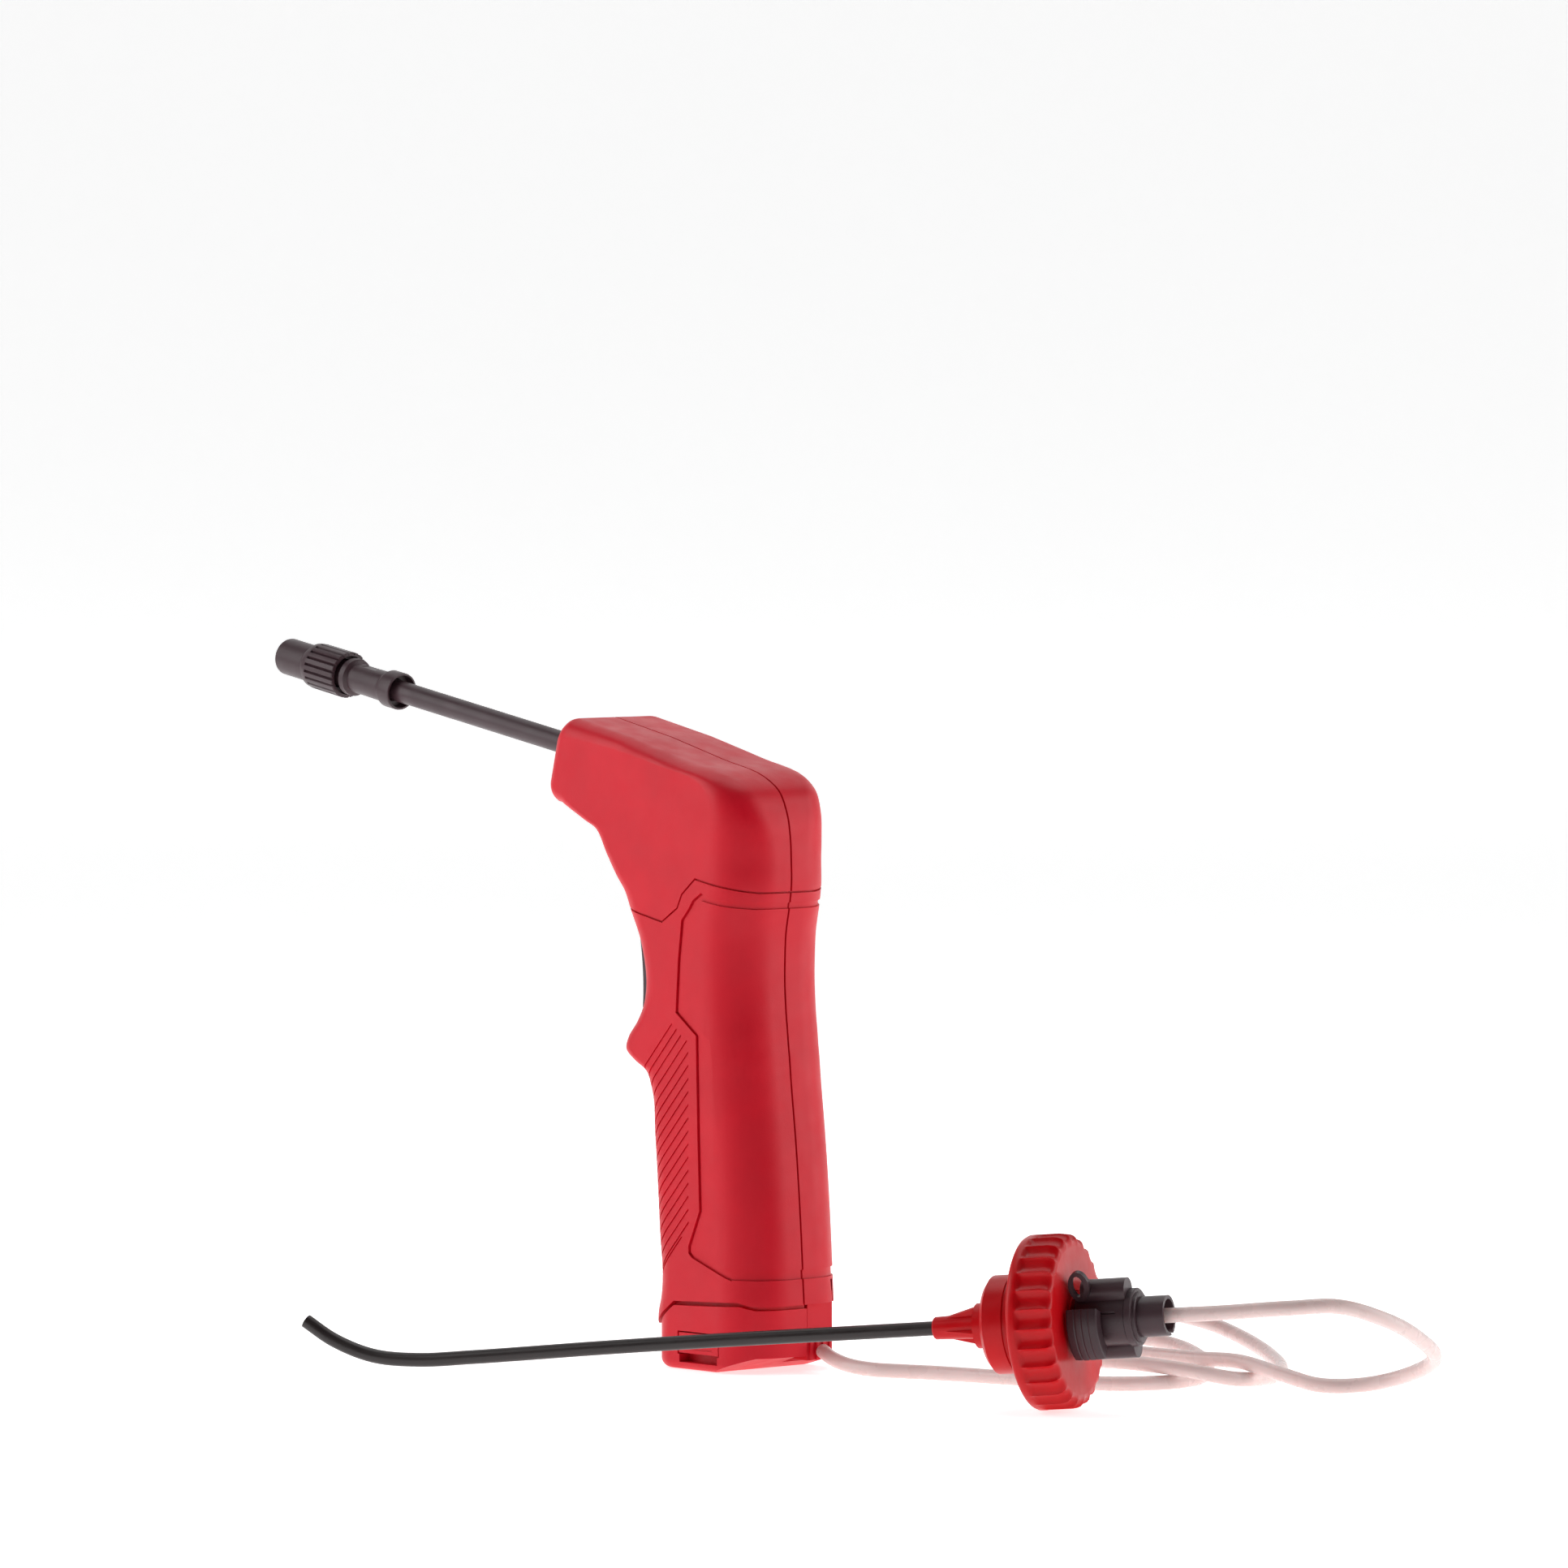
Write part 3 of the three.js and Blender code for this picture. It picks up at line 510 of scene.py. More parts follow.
def circle(middle, across, other, radius, sides):
    """Points round middle, in the plane of two unit vectors."""
    points = []
    for i in range(sides):
        angle = 2 * math.pi * i / sides
        cos, sin = math.cos(angle), math.sin(angle)
        points.append(middle + across * radius * cos + other * radius * sin)
    return points


def rod(name, radius, start, end, place=None, sides=48):
    """Plain cylinder between two points."""
    start, end = Vector(start), Vector(end)
    along = (end - start).normalized()
    across = along.orthogonal().normalized()
    other = along.cross(across)
    rings = [circle(middle, across, other, radius, sides) for middle in (start, end)]
    return loft(name, rings, place)


def strip(points, width):
    """Outline of a mitred band of this width along an open XZ line."""
    sides = ([], [])
    for i, here in enumerate(points):
        before = Vector(points[max(i - 1, 0)])
        after = Vector(points[min(i + 1, len(points) - 1)])
        here = Vector(here)
        ways = [d.normalized() for d in (here - before, after - here) if d.length > 0]
        middle = sum(ways, Vector((0, 0))).normalized()
        normal = Vector((-middle.y, middle.x))
        reach = width / 2 / max(0.4, middle.dot(ways[0]))
        sides[0].append(here + normal * reach)
        sides[1].append(here - normal * reach)
    return [tuple(p) for p in sides[0] + sides[1][::-1]]


def settle(piece):
    """Makes the modified mesh the piece's own mesh."""
    bpy.context.view_layer.update()
    graph = bpy.context.evaluated_depsgraph_get()
    mesh = bpy.data.meshes.new_from_object(piece.evaluated_get(graph))
    old = piece.data
    piece.modifiers.clear()
    piece.data = mesh
    bpy.data.meshes.remove(old)


def combine(piece, operation, tools):
    for tool in tools:
        step = piece.modifiers.new("combine", "BOOLEAN")
        step.operation = operation
        step.solver = "MANIFOLD"
        step.object = tool
    settle(piece)
    for tool in tools:
        bpy.data.objects.remove(tool)
    return piece


def cut(piece, *tools):
    return combine(piece, "DIFFERENCE", tools)


def join(piece, *tools):
    return combine(piece, "UNION", tools)


def common(piece, *tools):
    return combine(piece, "INTERSECT", tools)


def copy_of(piece):
    twin = piece.copy()
    twin.data = piece.data.copy()
    bpy.context.scene.collection.objects.link(twin)
    return twin


def finish_mesh(piece, bevel_mm, segments=2, crease=30):
    """Rounds the sharp edges and shades the rest smooth."""
    if bevel_mm:
        edge = piece.modifiers.new("edge", "BEVEL")
        edge.width = bevel_mm * MM
        edge.segments = segments
        edge.limit_method = "ANGLE"
        edge.angle_limit = math.radians(crease)
        settle(piece)
    piece.data.shade_smooth()
    piece.data.set_sharp_from_angle(angle=math.radians(crease))
    even = piece.modifiers.new("even", "WEIGHTED_NORMAL")
    even.keep_sharp = True
    even.weight = 60
    settle(piece)


def place_piece(piece, body, slot, *nodes):
    piece.data.materials.clear()
    piece.data.materials.append(MATERIALS[slot])
    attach(piece, body)
    if nodes:
        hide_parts(*nodes)
    return piece


# ---------------------------------------------------------------- handle shell
def smooth_stations(stations, steps):
    """Stations with steps - 1 more between each pair, on a smooth curve."""
    rows = [list(s) for s in stations]
    spans = []
    for a, b in zip(rows, rows[1:]):
        front = math.hypot(b[0] - a[0], b[1] - a[1])
        back = math.hypot(b[2] - a[2], b[3] - a[3])
        spans.append((front + back) / 2)
    slopes = []
    for i in range(len(rows)):
        if i == 0:
            slopes.append([(q - p) / spans[0] for p, q in zip(rows[0], rows[1])])
        elif i == len(rows) - 1:
            slopes.append([(q - p) / spans[-1] for p, q in zip(rows[-2], rows[-1])])
        else:
            h0, h1 = spans[i - 1], spans[i]
            slopes.append([
                ((r - q) / h1 * h0 + (q - p) / h0 * h1) / (h0 + h1)
                for p, q, r in zip(rows[i - 1], rows[i], rows[i + 1])
            ])
    result = []
    for i, span in enumerate(spans):
        for k in range(steps):
            t = k / steps
            result.append([
                (2 * t**3 - 3 * t**2 + 1) * p
                + (t**3 - 2 * t**2 + t) * span * m
                + (3 * t**2 - 2 * t**3) * q
                + (t**3 - t**2) * span * n
                for p, m, q, n in zip(rows[i], slopes[i], rows[i + 1], slopes[i + 1])
            ])
    result.append(rows[-1])
    return result


def section(front, back, half_width, front_round, back_round, steps=9):
    """Rounded rectangle from a front to a back point in XZ, across the width."""
    along = Vector(back) - Vector(front)
    length = along.length
    along.normalize()
    corners = [
        (front_round, 1, front_round, math.pi),
        (length - back_round, 1, back_round, math.pi / 2),
        (length - back_round, -1, back_round, 0),
        (front_round, -1, front_round, -math.pi / 2),
    ]
    points = []
    for middle, side, radius, start in corners:
        for i in range(steps + 1):
            angle = start - math.pi / 2 * i / steps
            t = middle + radius * math.cos(angle)
            y = side * (half_width - radius) + radius * math.sin(angle)
            points.append((front[0] + along.x * t, y, front[1] + along.y * t))
    return points


def handle_solid(name, inset, face_inset, steps=5, face_steps=8):
    """Body of the handle, moved inwards by inset and face_inset."""
    rings = []
    for fx, fz, bx, bz, fr, br in smooth_stations(HANDLE, steps):
        front, back = Vector((fx, fz)), Vector((bx, bz))
        along = (back - front).normalized() * inset
        rounds = max(fr - inset, 1), br - inset
        rings.append(section(front + along, back - along, HALF_WIDTH - inset, *rounds))
    normal = Vector((math.cos(FACE_LEAN), math.sin(FACE_LEAN)))
    up = Vector((-normal.y, normal.x))
    for k in range(face_steps + 1):
        angle = k / face_steps * math.pi / 2
        depth = face_inset + FACE_ROUND * (1 - math.sin(angle))
        shrink = 1 - math.cos(angle)
        base = Vector(FACE_FOOT) - normal * depth
        lower = base + up * (inset + 2.5 * shrink - depth * 0.18)
        upper = base + up * (FACE_HEIGHT - inset - 8 * shrink)
        width = HALF_WIDTH - inset - 5 * shrink
        rings.append(section(lower, upper, width, max(4 - inset, 1), max(6 - inset, 1)))
    return loft(name, rings)


def groove(name, points, width):
    return prism(name, strip(points, width), -ACROSS, ACROSS)


def rib_grooves():
    """Slanting grooves on the front of the grip, one prism for each."""
    ends = [(2.4, 96.1 - RIB_PITCH * i) for i in range(RIB_COUNT)]
    ends += [(3.1, 99.6), (5.7, 101.1), (7.7, 102.9), (9.8, 104.4)]
    ends += [(2.2, 44.9), (5.4, 40.2)]
    tools = []
    for x, z in ends:
        run = RIB_FRONT - x
        tools.append(groove("rib", [(x, z), (x + run, z - RIB_SLOPE * run)], RIB_WIDTH))
    return tools


def below_parting(shift):
    outline = [(x, z + shift) for x, z in PARTING] + [(-40, -10), (40, -10)]
    return prism("below", outline, -ACROSS, ACROSS)


def carved(body, tools, depth):
    """Body cut by tools down to depth below its skin."""
    cut(body, *tools)
    return join(body, handle_solid("core", depth, depth))


def make_housings():
    body = handle_solid("housing", 0, 0)
    field = PANEL_LINE + PANEL_FOOT_EDGE + PANEL_TOP_EDGE
    ledge = prism("ledge", field, -ACROSS, ACROSS)
    cut(ledge, prism("raised", RAISED_FIELD, -ACROSS - 2, ACROSS + 2))
    carved(body, rib_grooves(), RIB_DEPTH)
    carved(body, [ledge], LEDGE_DEPTH)
    lines = [
        groove("shoulder", SHOULDER_LINE, LINE_WIDTH),
        groove("panel", PANEL_LINE, LINE_WIDTH),
    ]
    seam = block("seam", (-60, -SEAM_HALF, -10), (90, SEAM_HALF, 230))
    carved(body, lines + [seam], LINE_DEPTH)
    wand_hole = rod("wand_hole", 4.9, (-12, 0, 0), (6, 0, 0), WAND_PLACE)
    cut(
        body,
        handle_solid("cavity", WALL, WALL, 2, 4),
        below_parting(PARTING_GAP / 2),
        wand_hole,
        block("trigger_slot", (22, -10, 99.6), (60, 10, 149.5)),
        block("spout_slot", (-24.6, -14.5, 10), (-14, -2.5, 27.5)),
    )
    for side, name in ((1, "left"), (-1, "right")):
        half = copy_of(body)
        half.name = f"shell_{name}"
        keep = side_block("keep", side, (-60, SEAM_GAP / 2, 0), (90, ACROSS, 230))
        common(half, keep)
        ends = [
            ((x, side * POST_END, z), (x, side * SEAM_GAP, z)) for x, z in SCREW_SPOTS
        ]
        posts = [rod("post", POST_R, *end) for end in ends]
        join(posts[0], *posts[1:])
        inside = handle_solid("inside", POST_INSET, POST_INSET, 2, 4)
        join(half, common(posts[0], inside))
        for x, z in SCREW_SPOTS:
            if side < 0:
                seat = (x, -SCREW_HEAD_SEAT, z)
                cut(half, rod("bore", SCREW_HEAD_R, (x, -ACROSS, z), seat))
            start, end = (x, side * -1, z), (x, side * PILOT_END, z)
            cut(half, rod("pilot", PILOT_R, start, end, sides=24))
        finish_mesh(half, 0.12)
        place_piece(half, "handle", "shell_red", f"housing_{name}")
    bpy.data.objects.remove(body)


# ---------------------------------------------------------------- battery cap
def foot_section(z, inset):
    front, back = (20.2 - inset, z), (-25.5 + inset, z)
    return section(front, back, HALF_WIDTH - inset, 9 - inset, 15 - inset)


def make_battery_cap():
    edge = 3
    steps = 6
    rings = []
    for k in range(steps + 1):
        angle = k / steps * math.pi / 2
        z, inset = edge * (1 - math.cos(angle)), edge * (1 - math.sin(angle))
        rings.append(foot_section(z, inset))
    rings.append(foot_section(24, 0))
    cap = common(loft("battery_foot", rings), below_parting(-PARTING_GAP / 2))
    collar = [section((17.2, z), (-24.3, z), 18, 6.5, 12.5) for z in (10, 25.5)]
    hollow = [section((16.1, z), (-23.2, z), 16.9, 5.4, 11.4) for z in (12.4, 40)]
    join(cap, loft("collar", collar))
    tools = [
        loft("hollow", hollow),
        prism("relief", FOOT_RELIEF, -ACROSS, ACROSS),
        block("hose_slot", (-40, -14.5, -5), (-14, -2.5, 40)),
    ]
    for side in (1, -1):
        recess = (-11.3, 15.4, 4.8), (7.3, ACROSS, 11.8)
        window = (-10.5, 16.4, 2.4), (6.5, ACROSS, 5)
        tools.append(side_block("latch_recess", side, *recess))
        tools.append(side_block("latch_window", side, *window))
    cut(cap, *tools)
    finish_mesh(cap, 0.18)
    place_piece(cap, "battery_cap", "shell_red", "battery_cap")


def make_latches():
    for side, name in ((1, "left"), (-1, "right")):
        tab = side_block("latch_tab_" + name, side, (-10.9, 17.6, 5.2), (6.9, 20.4, 11.4))
        grips = []
        for z in (6.7, 8.3, 9.9):
            grips.append(side_block("grip", side, (-8, 20, z - 0.3), (4, 21, z + 0.3)))
        cut(tab, *grips)
        finish_mesh(tab, 0.3)
        place_piece(tab, f"latch_{name}", "shell_red", f"latch_{name}")


# -------------------------------------------------------------------- trigger
def arc_points(start, control, end, steps=6):
    start, control, end = map(Vector, (start, control, end))
    points = []
    for i in range(1, steps + 1):
        t = i / steps
        spot = start * (1 - t) ** 2 + control * 2 * t * (1 - t) + end * t * t
        points.append(tuple(spot))
    return points


def make_trigger():
    outline = [(27.2, 101.6), (32.4, 101.4)]
    outline += arc_points((32.4, 101.4), (35, 103), (35.6, 108))
    outline += arc_points((35.6, 108), (34.6, 121), (38.4, 136), 12)
    outline += [(38.4, 146), (35, 148.9), (28.4, 148.9), (25.6, 142), (25.2, 105)]
    lever = prism("trigger_lever", outline, -9.6, 9.6)
    cut(lever, rod("pin_hole", 2, (31, -12, 144.5), (31, 12, 144.5)))
    finish_mesh(lever, 1.1, 4)
    place_piece(lever, "trigger", "dark_plastic", "trigger")


# ----------------------------------------------------------------- wand group
def make_wand():
    start, end = WAND_ENDS
    tube = turned(
        "wand_pipe",
        [(start, WAND_BORE), (start, WAND_R), (end, WAND_R), (end, WAND_BORE)],
        WAND_PLACE,
        64,
    )
    finish_mesh(tube, 0.2)
    place_piece(tube, "handle", "dark_plastic", "wand_tube")
    inner = WAND_R + SEAM_GAP
    bush = turned(
        "wand_collar",
        [(-10, inner), (-10, 6.6), (-7.5, 6.6), (-7.5, 4.5), (0.6, 4.5), (0.6, inner)],
        WAND_PLACE,
        64,
    )
    finish_mesh(bush, 0.2)
    place_piece(bush, "handle", "dark_plastic", "wand_bush")


def make_nozzle_barrel():
    socket = WAND_R + SEAM_GAP
    profile = [
        (NOZZLE_REAR, 5.2),
        (NOZZLE_REAR, 5.75),
        (NOZZLE_REAR + 0.6, 5.9),
        (NOZZLE_REAR + 5.2, 5.9),
        (NOZZLE_REAR + 5.9, 5.5),
        (NOZZLE_REAR + 6.3, 5.15),
        (NOZZLE_REAR + 7.1, 5.15),
        (NOZZLE_REAR + 7.5, 4.8),
        (BARREL_FRONT - 0.5, 4.7),
        (BARREL_FRONT - 0.1, 5.6),
        (BARREL_FRONT + 0.2, 5.9),
        (FLANGE_FRONT, 5.9),
        (FLANGE_FRONT, 4.5),
        (NECK_FRONT, 4.5),
        (NECK_FRONT, 3.4),
        (SPIGOT_FRONT, 3.4),
        (SPIGOT_FRONT, 1.4),
        (WAND_ENDS[1] + SEAM_GAP, 1.4),
        (WAND_ENDS[1] + SEAM_GAP, socket),
        (NOZZLE_REAR + 3.5, socket),
        (NOZZLE_REAR + 3.5, 5.2),
    ]
    barrel = turned("nozzle_barrel", profile, WAND_PLACE)
    for side in (-1, 1):
        turn = WAND_PLACE @ Matrix.Rotation(side * math.pi / 2, 4, "X")
        cut(barrel, block("flat", (107.5, 4.4, -3), (114.5, 6, 3), turn))
    finish_mesh(barrel, 0.18)
    place_piece(barrel, "handle", "dark_plastic", "nozzle_body")


def make_nozzle_cap():
    bore_rear = NECK_FRONT + 1
    grooves = 20
    profile = [
        (RING_REAR, 6.2),
        (RING_REAR, 7.1),
        (RING_REAR + 0.3, 7.35),
        (RING_FRONT - 4.2, 7.3),
        (RING_FRONT - 3.5, 7.3),
        (RING_FRONT - 3.3, 7.3),
        (RING_FRONT - 1.4, 7.1),
        (RING_FRONT - 0.5, 6.5),
        (RING_FRONT + 0.1, 5.95),
        (RING_FRONT + 0.5, 5.85),
        (NOZZLE_TIP - 1.0, 5.85),
        (NOZZLE_TIP - 0.4, 5.65),
        (NOZZLE_TIP - 0.1, 5.3),
        (NOZZLE_TIP, 4.9),
        (NOZZLE_TIP, 3.6),
        (NOZZLE_TIP - 1.2, 3.1),
        (NOZZLE_TIP - 1.2, 1.1),
        (SPIGOT_FRONT + 2, 1.1),
        (SPIGOT_FRONT + 2, 4.8),
        (bore_rear, 4.8),
        (bore_rear, 6.2),
    ]
    depth = {1: 0.7, 2: 0.75, 3: 0.8, 4: 0.85}  # of the grooves, by profile point

    def wave(k, angle):
        share = (angle * grooves / (2 * math.pi)) % 1
        return -depth.get(k, 0) * max(0, 1 - abs(share - 0.5) / 0.17) ** 0.5

    cap = turned("nozzle_ring", profile, WAND_PLACE, grooves * 10, wave)
    finish_mesh(cap, 0, crease=38)
    place_piece(cap, "nozzle_cap", "dark_plastic", "nozzle_cap")


# ------------------------------------------------------------------ hose parts
def smooth_route(points, per_step):
    """Centripetal Catmull-Rom curve through points, as the CAD hose uses."""
    points = [Vector(p) for p in points]
    padded = [points[0] * 2 - points[1]] + points + [points[-1] * 2 - points[-2]]
    route = []
    for p0, p1, p2, p3 in zip(padded, padded[1:], padded[2:], padded[3:]):
        d0 = max((p1 - p0).length ** 0.5, 1e-6)
        d1 = max((p2 - p1).length ** 0.5, 1e-6)
        d2 = max((p3 - p2).length ** 0.5, 1e-6)
        m1 = ((p1 - p0) / d0 - (p2 - p0) / (d0 + d1) + (p2 - p1) / d1) * d1
        m2 = ((p2 - p1) / d1 - (p3 - p1) / (d1 + d2) + (p3 - p2) / d2) * d1
        for k in range(per_step):
            t = k / per_step
            route.append(
                p1 * (2 * t**3 - 3 * t**2 + 1)
                + m1 * (t**3 - 2 * t**2 + t)
                + p2 * (3 * t**2 - 2 * t**3)
                + m2 * (t**3 - t**2)
            )
    route.append(points[-1])
    return route


def make_hose():
    route = smooth_route(HOSE_ROUTE, 8)
    curve = bpy.data.curves.new("supply_tube", "CURVE")
    curve.dimensions = "3D"
    curve.bevel_depth = HOSE_R * MM
    curve.bevel_resolution = 6
    curve.use_fill_caps = True
    spline = curve.splines.new("POLY")
    spline.points.add(len(route) - 1)
    for point, place in zip(spline.points, route):
        point.co = (*(place * MM), 1)
    spline.use_smooth = True
    hose = bpy.data.objects.new("supply_tube", curve)
    bpy.context.scene.collection.objects.link(hose)
    curve.materials.append(MATERIALS["hose_clear"])
    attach(hose, "handle")
    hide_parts("supply_hose")
    return hose


def make_spout():
    spout = block("spout_block", (-24.6, -13.6, 3.4), (-16.8, -3.4, 24))
    ridges = []
    for i in range(4):
        y = -12.4 + i * 2.6
        ridges.append(block("ridge", (-25.2, y - 0.5, 3.4), (-24.2, y + 0.5, 10)))
    join(spout, *ridges)
    finish_mesh(spout, 0.2)
    place_piece(spout, "handle", "shell_red", "hose_spout")


# ------------------------------------------------------------------ bottle cap
def bottle_place():
    axis = Vector(CAP_AXIS).normalized()
    across = Vector((0, 0, 1)).cross(axis).normalized()
    up = axis.cross(across)
    turn = Matrix((axis, across, up)).transposed().to_4x4()
    return Matrix.Translation(CAP_CENTRE) @ turn


BOTTLE_PLACE = bottle_place()


def make_screw_cap():
    profile = [
        (CAP_OPEN_END, 22.8),
        (CAP_OPEN_END, 24.4),
        (CAP_OPEN_END + 0.4, 25.1),
        (CAP_OPEN_END + 1.2, 25.5),
        (CAP_OPEN_END + 2.4, 25.5),
        (CAP_OPEN_END + 3.0, 25.5),
        (CAP_OPEN_END + 3.6, 25.5),
        (CAP_OPEN_END + 4.6, 25.5),
        (CAP_FACE - 3.6, 25.5),
        (CAP_FACE - 2.2, 25.3),
        (CAP_FACE - 1.2, 24.9),
        (CAP_FACE - 0.4, 24.1),
        (CAP_FACE, 23),
        (CAP_FACE, 21.4),
        (CAP_FACE, 8.8),
        (CAP_FACE - 2.6, 8.8),
        (CAP_FACE - 2.6, 22.8),
    ]
    # Depth of the flutes, by profile point.
    depth = {5: 0.2, 6: 0.9, 7: 1.35, 8: 1.45, 9: 1.45, 10: 1.35, 11: 1.1, 12: 0.6}

    def wave(k, angle):
        share = (angle * FLUTES / (2 * math.pi)) % 1
        return -depth.get(k, 0) * math.sin(math.pi * share) ** 0.7

    cap = turned("bottle_cap", profile, BOTTLE_PLACE, FLUTES * 14, wave)
    finish_mesh(cap, 0, crease=50)
    place_piece(cap, "screw_cap", "cap_red", "screw_cap")


def make_cap_insert():
    flange = CAP_FACE - 2.9
    bore = 1.4
    socket = DIP_TUBE_R + SEAM_GAP
    profile = [
        (-34.6, socket),
        (-34.6, 3.0),
        (-34.2, 3.3),
        (-21.6, 3.7),
        (-21, 6.6),
        (-18, 6.6),
        (-17.2, 9.5),
        (-16.4, 12.6),
        (-15, 14.4),
        (-9.2, 14.4),
        (-9.0, 14.0),
        (-7.6, 14.0),
        (-7.4, 14.4),
        (1.8, 14.4),
        (3.8, 17.5),
        (flange, 17.5),
        (flange, 8.4),
        (CAP_FACE + 0.6, 8.4),
        (CAP_FACE + 0.6, 4),
        (24, 4),
        (24, bore),
        (-24, bore),
        (-24, socket),
    ]
    insert = turned("cap_plug", profile, BOTTLE_PLACE)
    fins = []
    fin_outline = [(-32, 2.9), (-20.6, 2.9), (-20.6, 6.2)]
    for i in range(4):
        turn = BOTTLE_PLACE @ Matrix.Rotation(i * math.pi / 2 + 0.4, 4, "X")
        fins.append(prism("fin", fin_outline, -0.6, 0.6, turn))
    thread_place = BOTTLE_PLACE @ Matrix.Translation((-3.2, 0, 0))
    slant = thread_place @ Matrix.Rotation(0.09, 4, "Y")
    crest = [(-0.7, 14), (-0.5, 14.9), (0.5, 14.9), (0.7, 14)]
    thread = turned("thread", crest, slant)
    ring = [(-16.8, 5), (-16.8, 8.6), (-16.2, 10.6), (-13.6, 10.6), (-13.6, 5)]
    step = turned("step", ring, BOTTLE_PLACE)
    join(insert, *fins, thread, step)
    finish_mesh(insert, 0.2)
    place_piece(insert, "cap_insert", "cap_red", "cap_insert")


def make_dip_tube():
    route = smooth_route(DIP_ROUTE, 10)
    sides = 28
    bored = 8  # points of the route that the open end's bore follows
    outer, inner = DIP_TUBE_R, DIP_TUBE_R - 0.7
    rings_out, rings_in = [], []
    for i, middle in enumerate(route):
        before = route[max(i - 1, 0)]
        after = route[min(i + 1, len(route) - 1)]
        along = (after - before).normalized()
        side = Vector((0, 1, 0))
        up = along.cross(side)
        rings_out.append(circle(middle, side, up, outer, sides))
        rings_in.append(circle(middle, side, up, inner, sides))
    tube = loft("dip_pipe", rings_out, BOTTLE_PLACE)
    bore_rings = rings_in[-bored:]
    step = (route[-1] - route[-2]).normalized()
    bore_rings.append([p + step for p in bore_rings[-1]])
    cut(tube, loft("bore", bore_rings, BOTTLE_PLACE))
    finish_mesh(tube, 0.15)
    place_piece(tube, "cap_insert", "black_plastic", "dip_tube")


# ------------------------------------------------------------- quick connector
CONNECTOR_PLACE = BOTTLE_PLACE @ Matrix.Rotation(LEVER_TILT, 4, "X")


def oval(middle, rx, rz, sides=40):
    x, z = middle
    angles = [2 * math.pi * i / sides for i in range(sides)]
    return [(x + rx * math.cos(a), z + rz * math.sin(a)) for a in angles]


def make_connector():
    hose_bore = HOSE_R + SEAM_GAP
    core = turned(
        "connector",
        [
            (CONNECTOR_REAR, 4.4),
            (CONNECTOR_REAR, 8),
            (SHOULDER - 0.3, 8),
            (SHOULDER - 0.3, 7.8),
            (SHOULDER, 7.8),
            (SHOULDER, 8.5),
            (SHOULDER_END - 1.2, 8.5),
            (SHOULDER_END - 0.9, 8.2),
            (SHOULDER_END - 0.9, 7.4),
            (SHOULDER_END - 0.2, 7.2),
            (SHOULDER_END, 6.9),
            (SHOULDER_END, 5.9),
            (COLLAR_END, 5.9),
            (COLLAR_END, 4.8),
            (COLLAR_END - 4.4, 4.6),
            (COLLAR_END - 4.4, hose_bore),
            (25, hose_bore),
            (25, 4.4),
        ],
        CONNECTOR_PLACE,
    )
    ribs = []
    holes = []
    for side in (1, -1):
        z = RIB_OFFSET * side
        rear, front = CONNECTOR_REAR + 2, SHOULDER + 0.1
        ribs.append(rod("rib", RIB_R, (rear, 0, z), (front, 0, z), CONNECTOR_PLACE))
        z += 0.5 * side
        holes.append(rod("hole", RIB_R - 1, (9, 0, z), (20, 0, z), CONNECTOR_PLACE))
    holes.append(rod("bore", 4.4, (9, 0, 0), (25, 0, 0), CONNECTOR_PLACE))
    notch = (COLLAR_END - 3, -0.9, -8), (COLLAR_END + 2, 0.9, 0)
    holes.append(block("notch", *notch, CONNECTOR_PLACE))
    holes.append(block("slot", (16.5, -9, 4.1), (23.5, -6.2, 4.8), CONNECTOR_PLACE))
    join(core, *ribs)
    loop = prism("loop", oval((13.2, 12), 3.1, 4.6), -4.4, -2.6, CONNECTOR_PLACE)
    cut(loop, prism("eye", oval((13, 12.1), 1.8, 3.2), -5, -2, CONNECTOR_PLACE))
    cut(core, *holes)
    join(core, loop)
    finish_mesh(core, 0.2)
    place_piece(core, "handle", "dark_plastic", "connector_body")


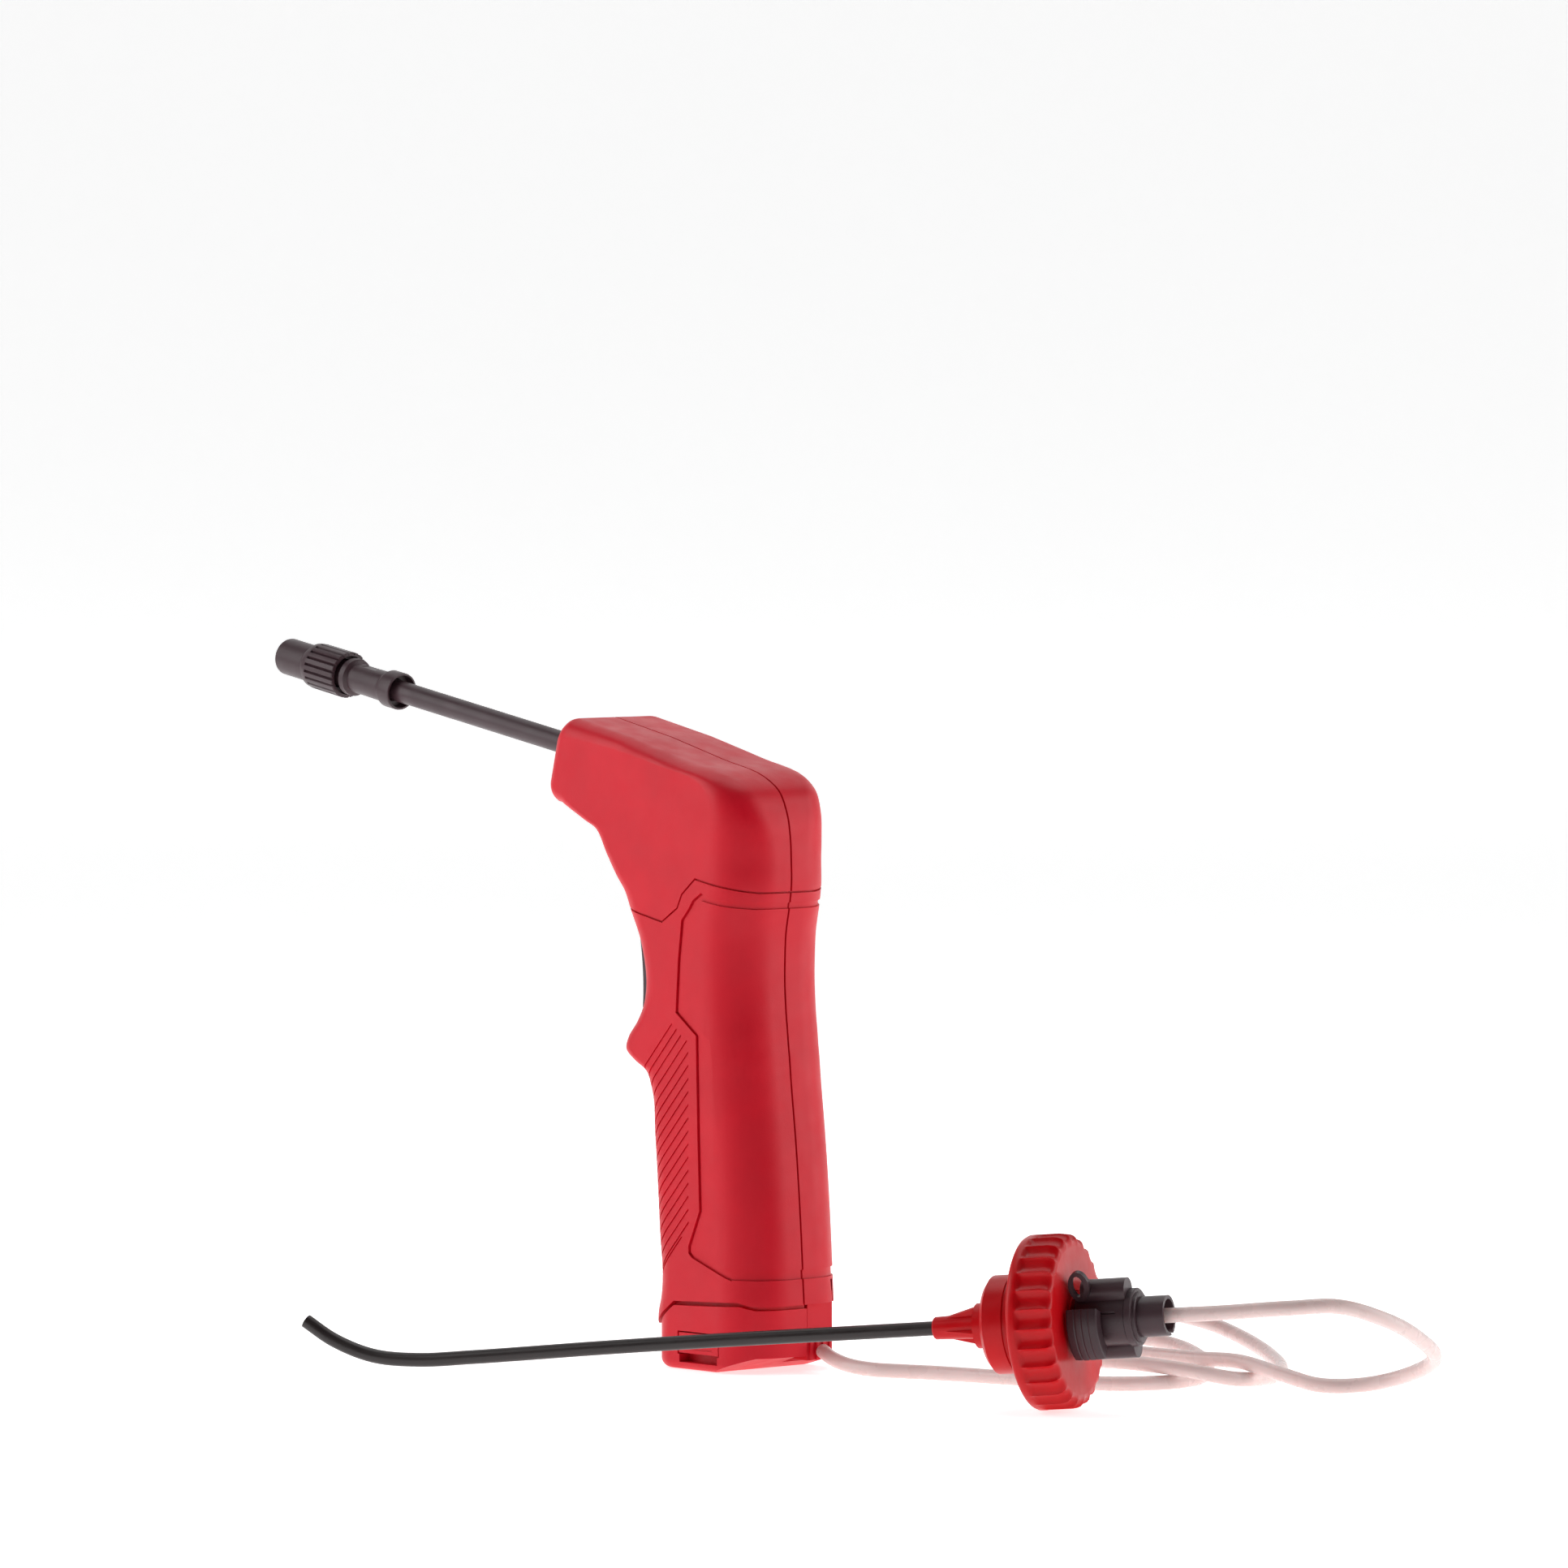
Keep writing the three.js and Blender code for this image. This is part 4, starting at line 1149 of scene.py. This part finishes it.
def make_levers():
    half_angle = math.radians(35.5)
    steps = 24
    profile = [
        (10.2, 11),
        (10.4, 13.3),
        (10.8, 13.6),
        (12.8, 13.8),
        (13.1, 13.6),
        (13.4, 13.85),
        (14.8, 13.9),
        (15.1, 13.7),
        (15.4, 13.9),
        (16.8, 13.85),
        (17.1, 13.65),
        (17.4, 13.8),
        (LEVER_END - 0.9, 13.7),
        (LEVER_END - 0.2, 13.5),
        (LEVER_END, 12.9),
        (LEVER_END, 9.4),
        (LEVER_END - 0.9, 9.4),
        (LEVER_END - 1.1, 11.6),
        (LEVER_END - 1.8, 12.3),
        (11.6, 12.3),
        (11.3, 11),
    ]
    for side, name in ((-1, "front"), (1, "back")):
        rings = []
        for k in range(steps + 1):
            angle = -half_angle + 2 * half_angle * k / steps
            y, z = side * math.cos(angle), side * math.sin(angle)
            rings.append([(x, r * y, r * z) for x, r in profile])
        lever = loft("squeeze_pad_" + name, rings, CONNECTOR_PLACE)
        finish_mesh(lever, 0.12)
        body = f"release_lever_{name}"
        place_piece(lever, body, "dark_plastic", body)


# --------------------------------------------------------------------- the rest
def make_floor():
    """Pale sheet that runs flat under the tool and sweeps up behind it."""
    outline = [(4.0, 0)]
    radius, flat, top = 2.0, 5.0, 8.0
    steps = 24
    for i in range(steps + 1):
        angle = math.pi / 2 * i / steps
        outline.append((-flat - radius * math.sin(angle), radius * (1 - math.cos(angle))))
    outline.append((-flat - radius, top))
    half = 9.0
    points = []
    faces = []
    for along, z in outline:
        for across in (-half, half):
            level = TOWARDS_CAMERA * along + SCREEN_RIGHT * across
            points.append(level + Vector((0, 0, z)))
    for i in range(len(outline) - 1):
        faces.append((2 * i, 2 * i + 1, 2 * i + 3, 2 * i + 2))
    mesh = bpy.data.meshes.new("floor")
    mesh.from_pydata(points, [], faces)
    mesh.shade_smooth()
    floor = new_object("floor", mesh)
    mesh.materials.append(stage_material())


def dress_cad_nodes():
    """Better materials on the CAD nodes that stay as they are."""
    for entry in frame["record"]["subparts"]:
        node = frame["nodes"][entry["node"]]
        for slot in node.material_slots:
            slot.material = MATERIALS[entry["material_slot"]]


make_camera()
hose = make_hose()
make_lights()
make_floor()
dress_cad_nodes()
make_housings()
make_battery_cap()
make_latches()
make_trigger()
make_wand()
make_nozzle_barrel()
make_nozzle_cap()
make_spout()
make_screw_cap()
make_cap_insert()
make_dip_tube()
make_connector()
make_levers()

bpy.context.view_layer.update()
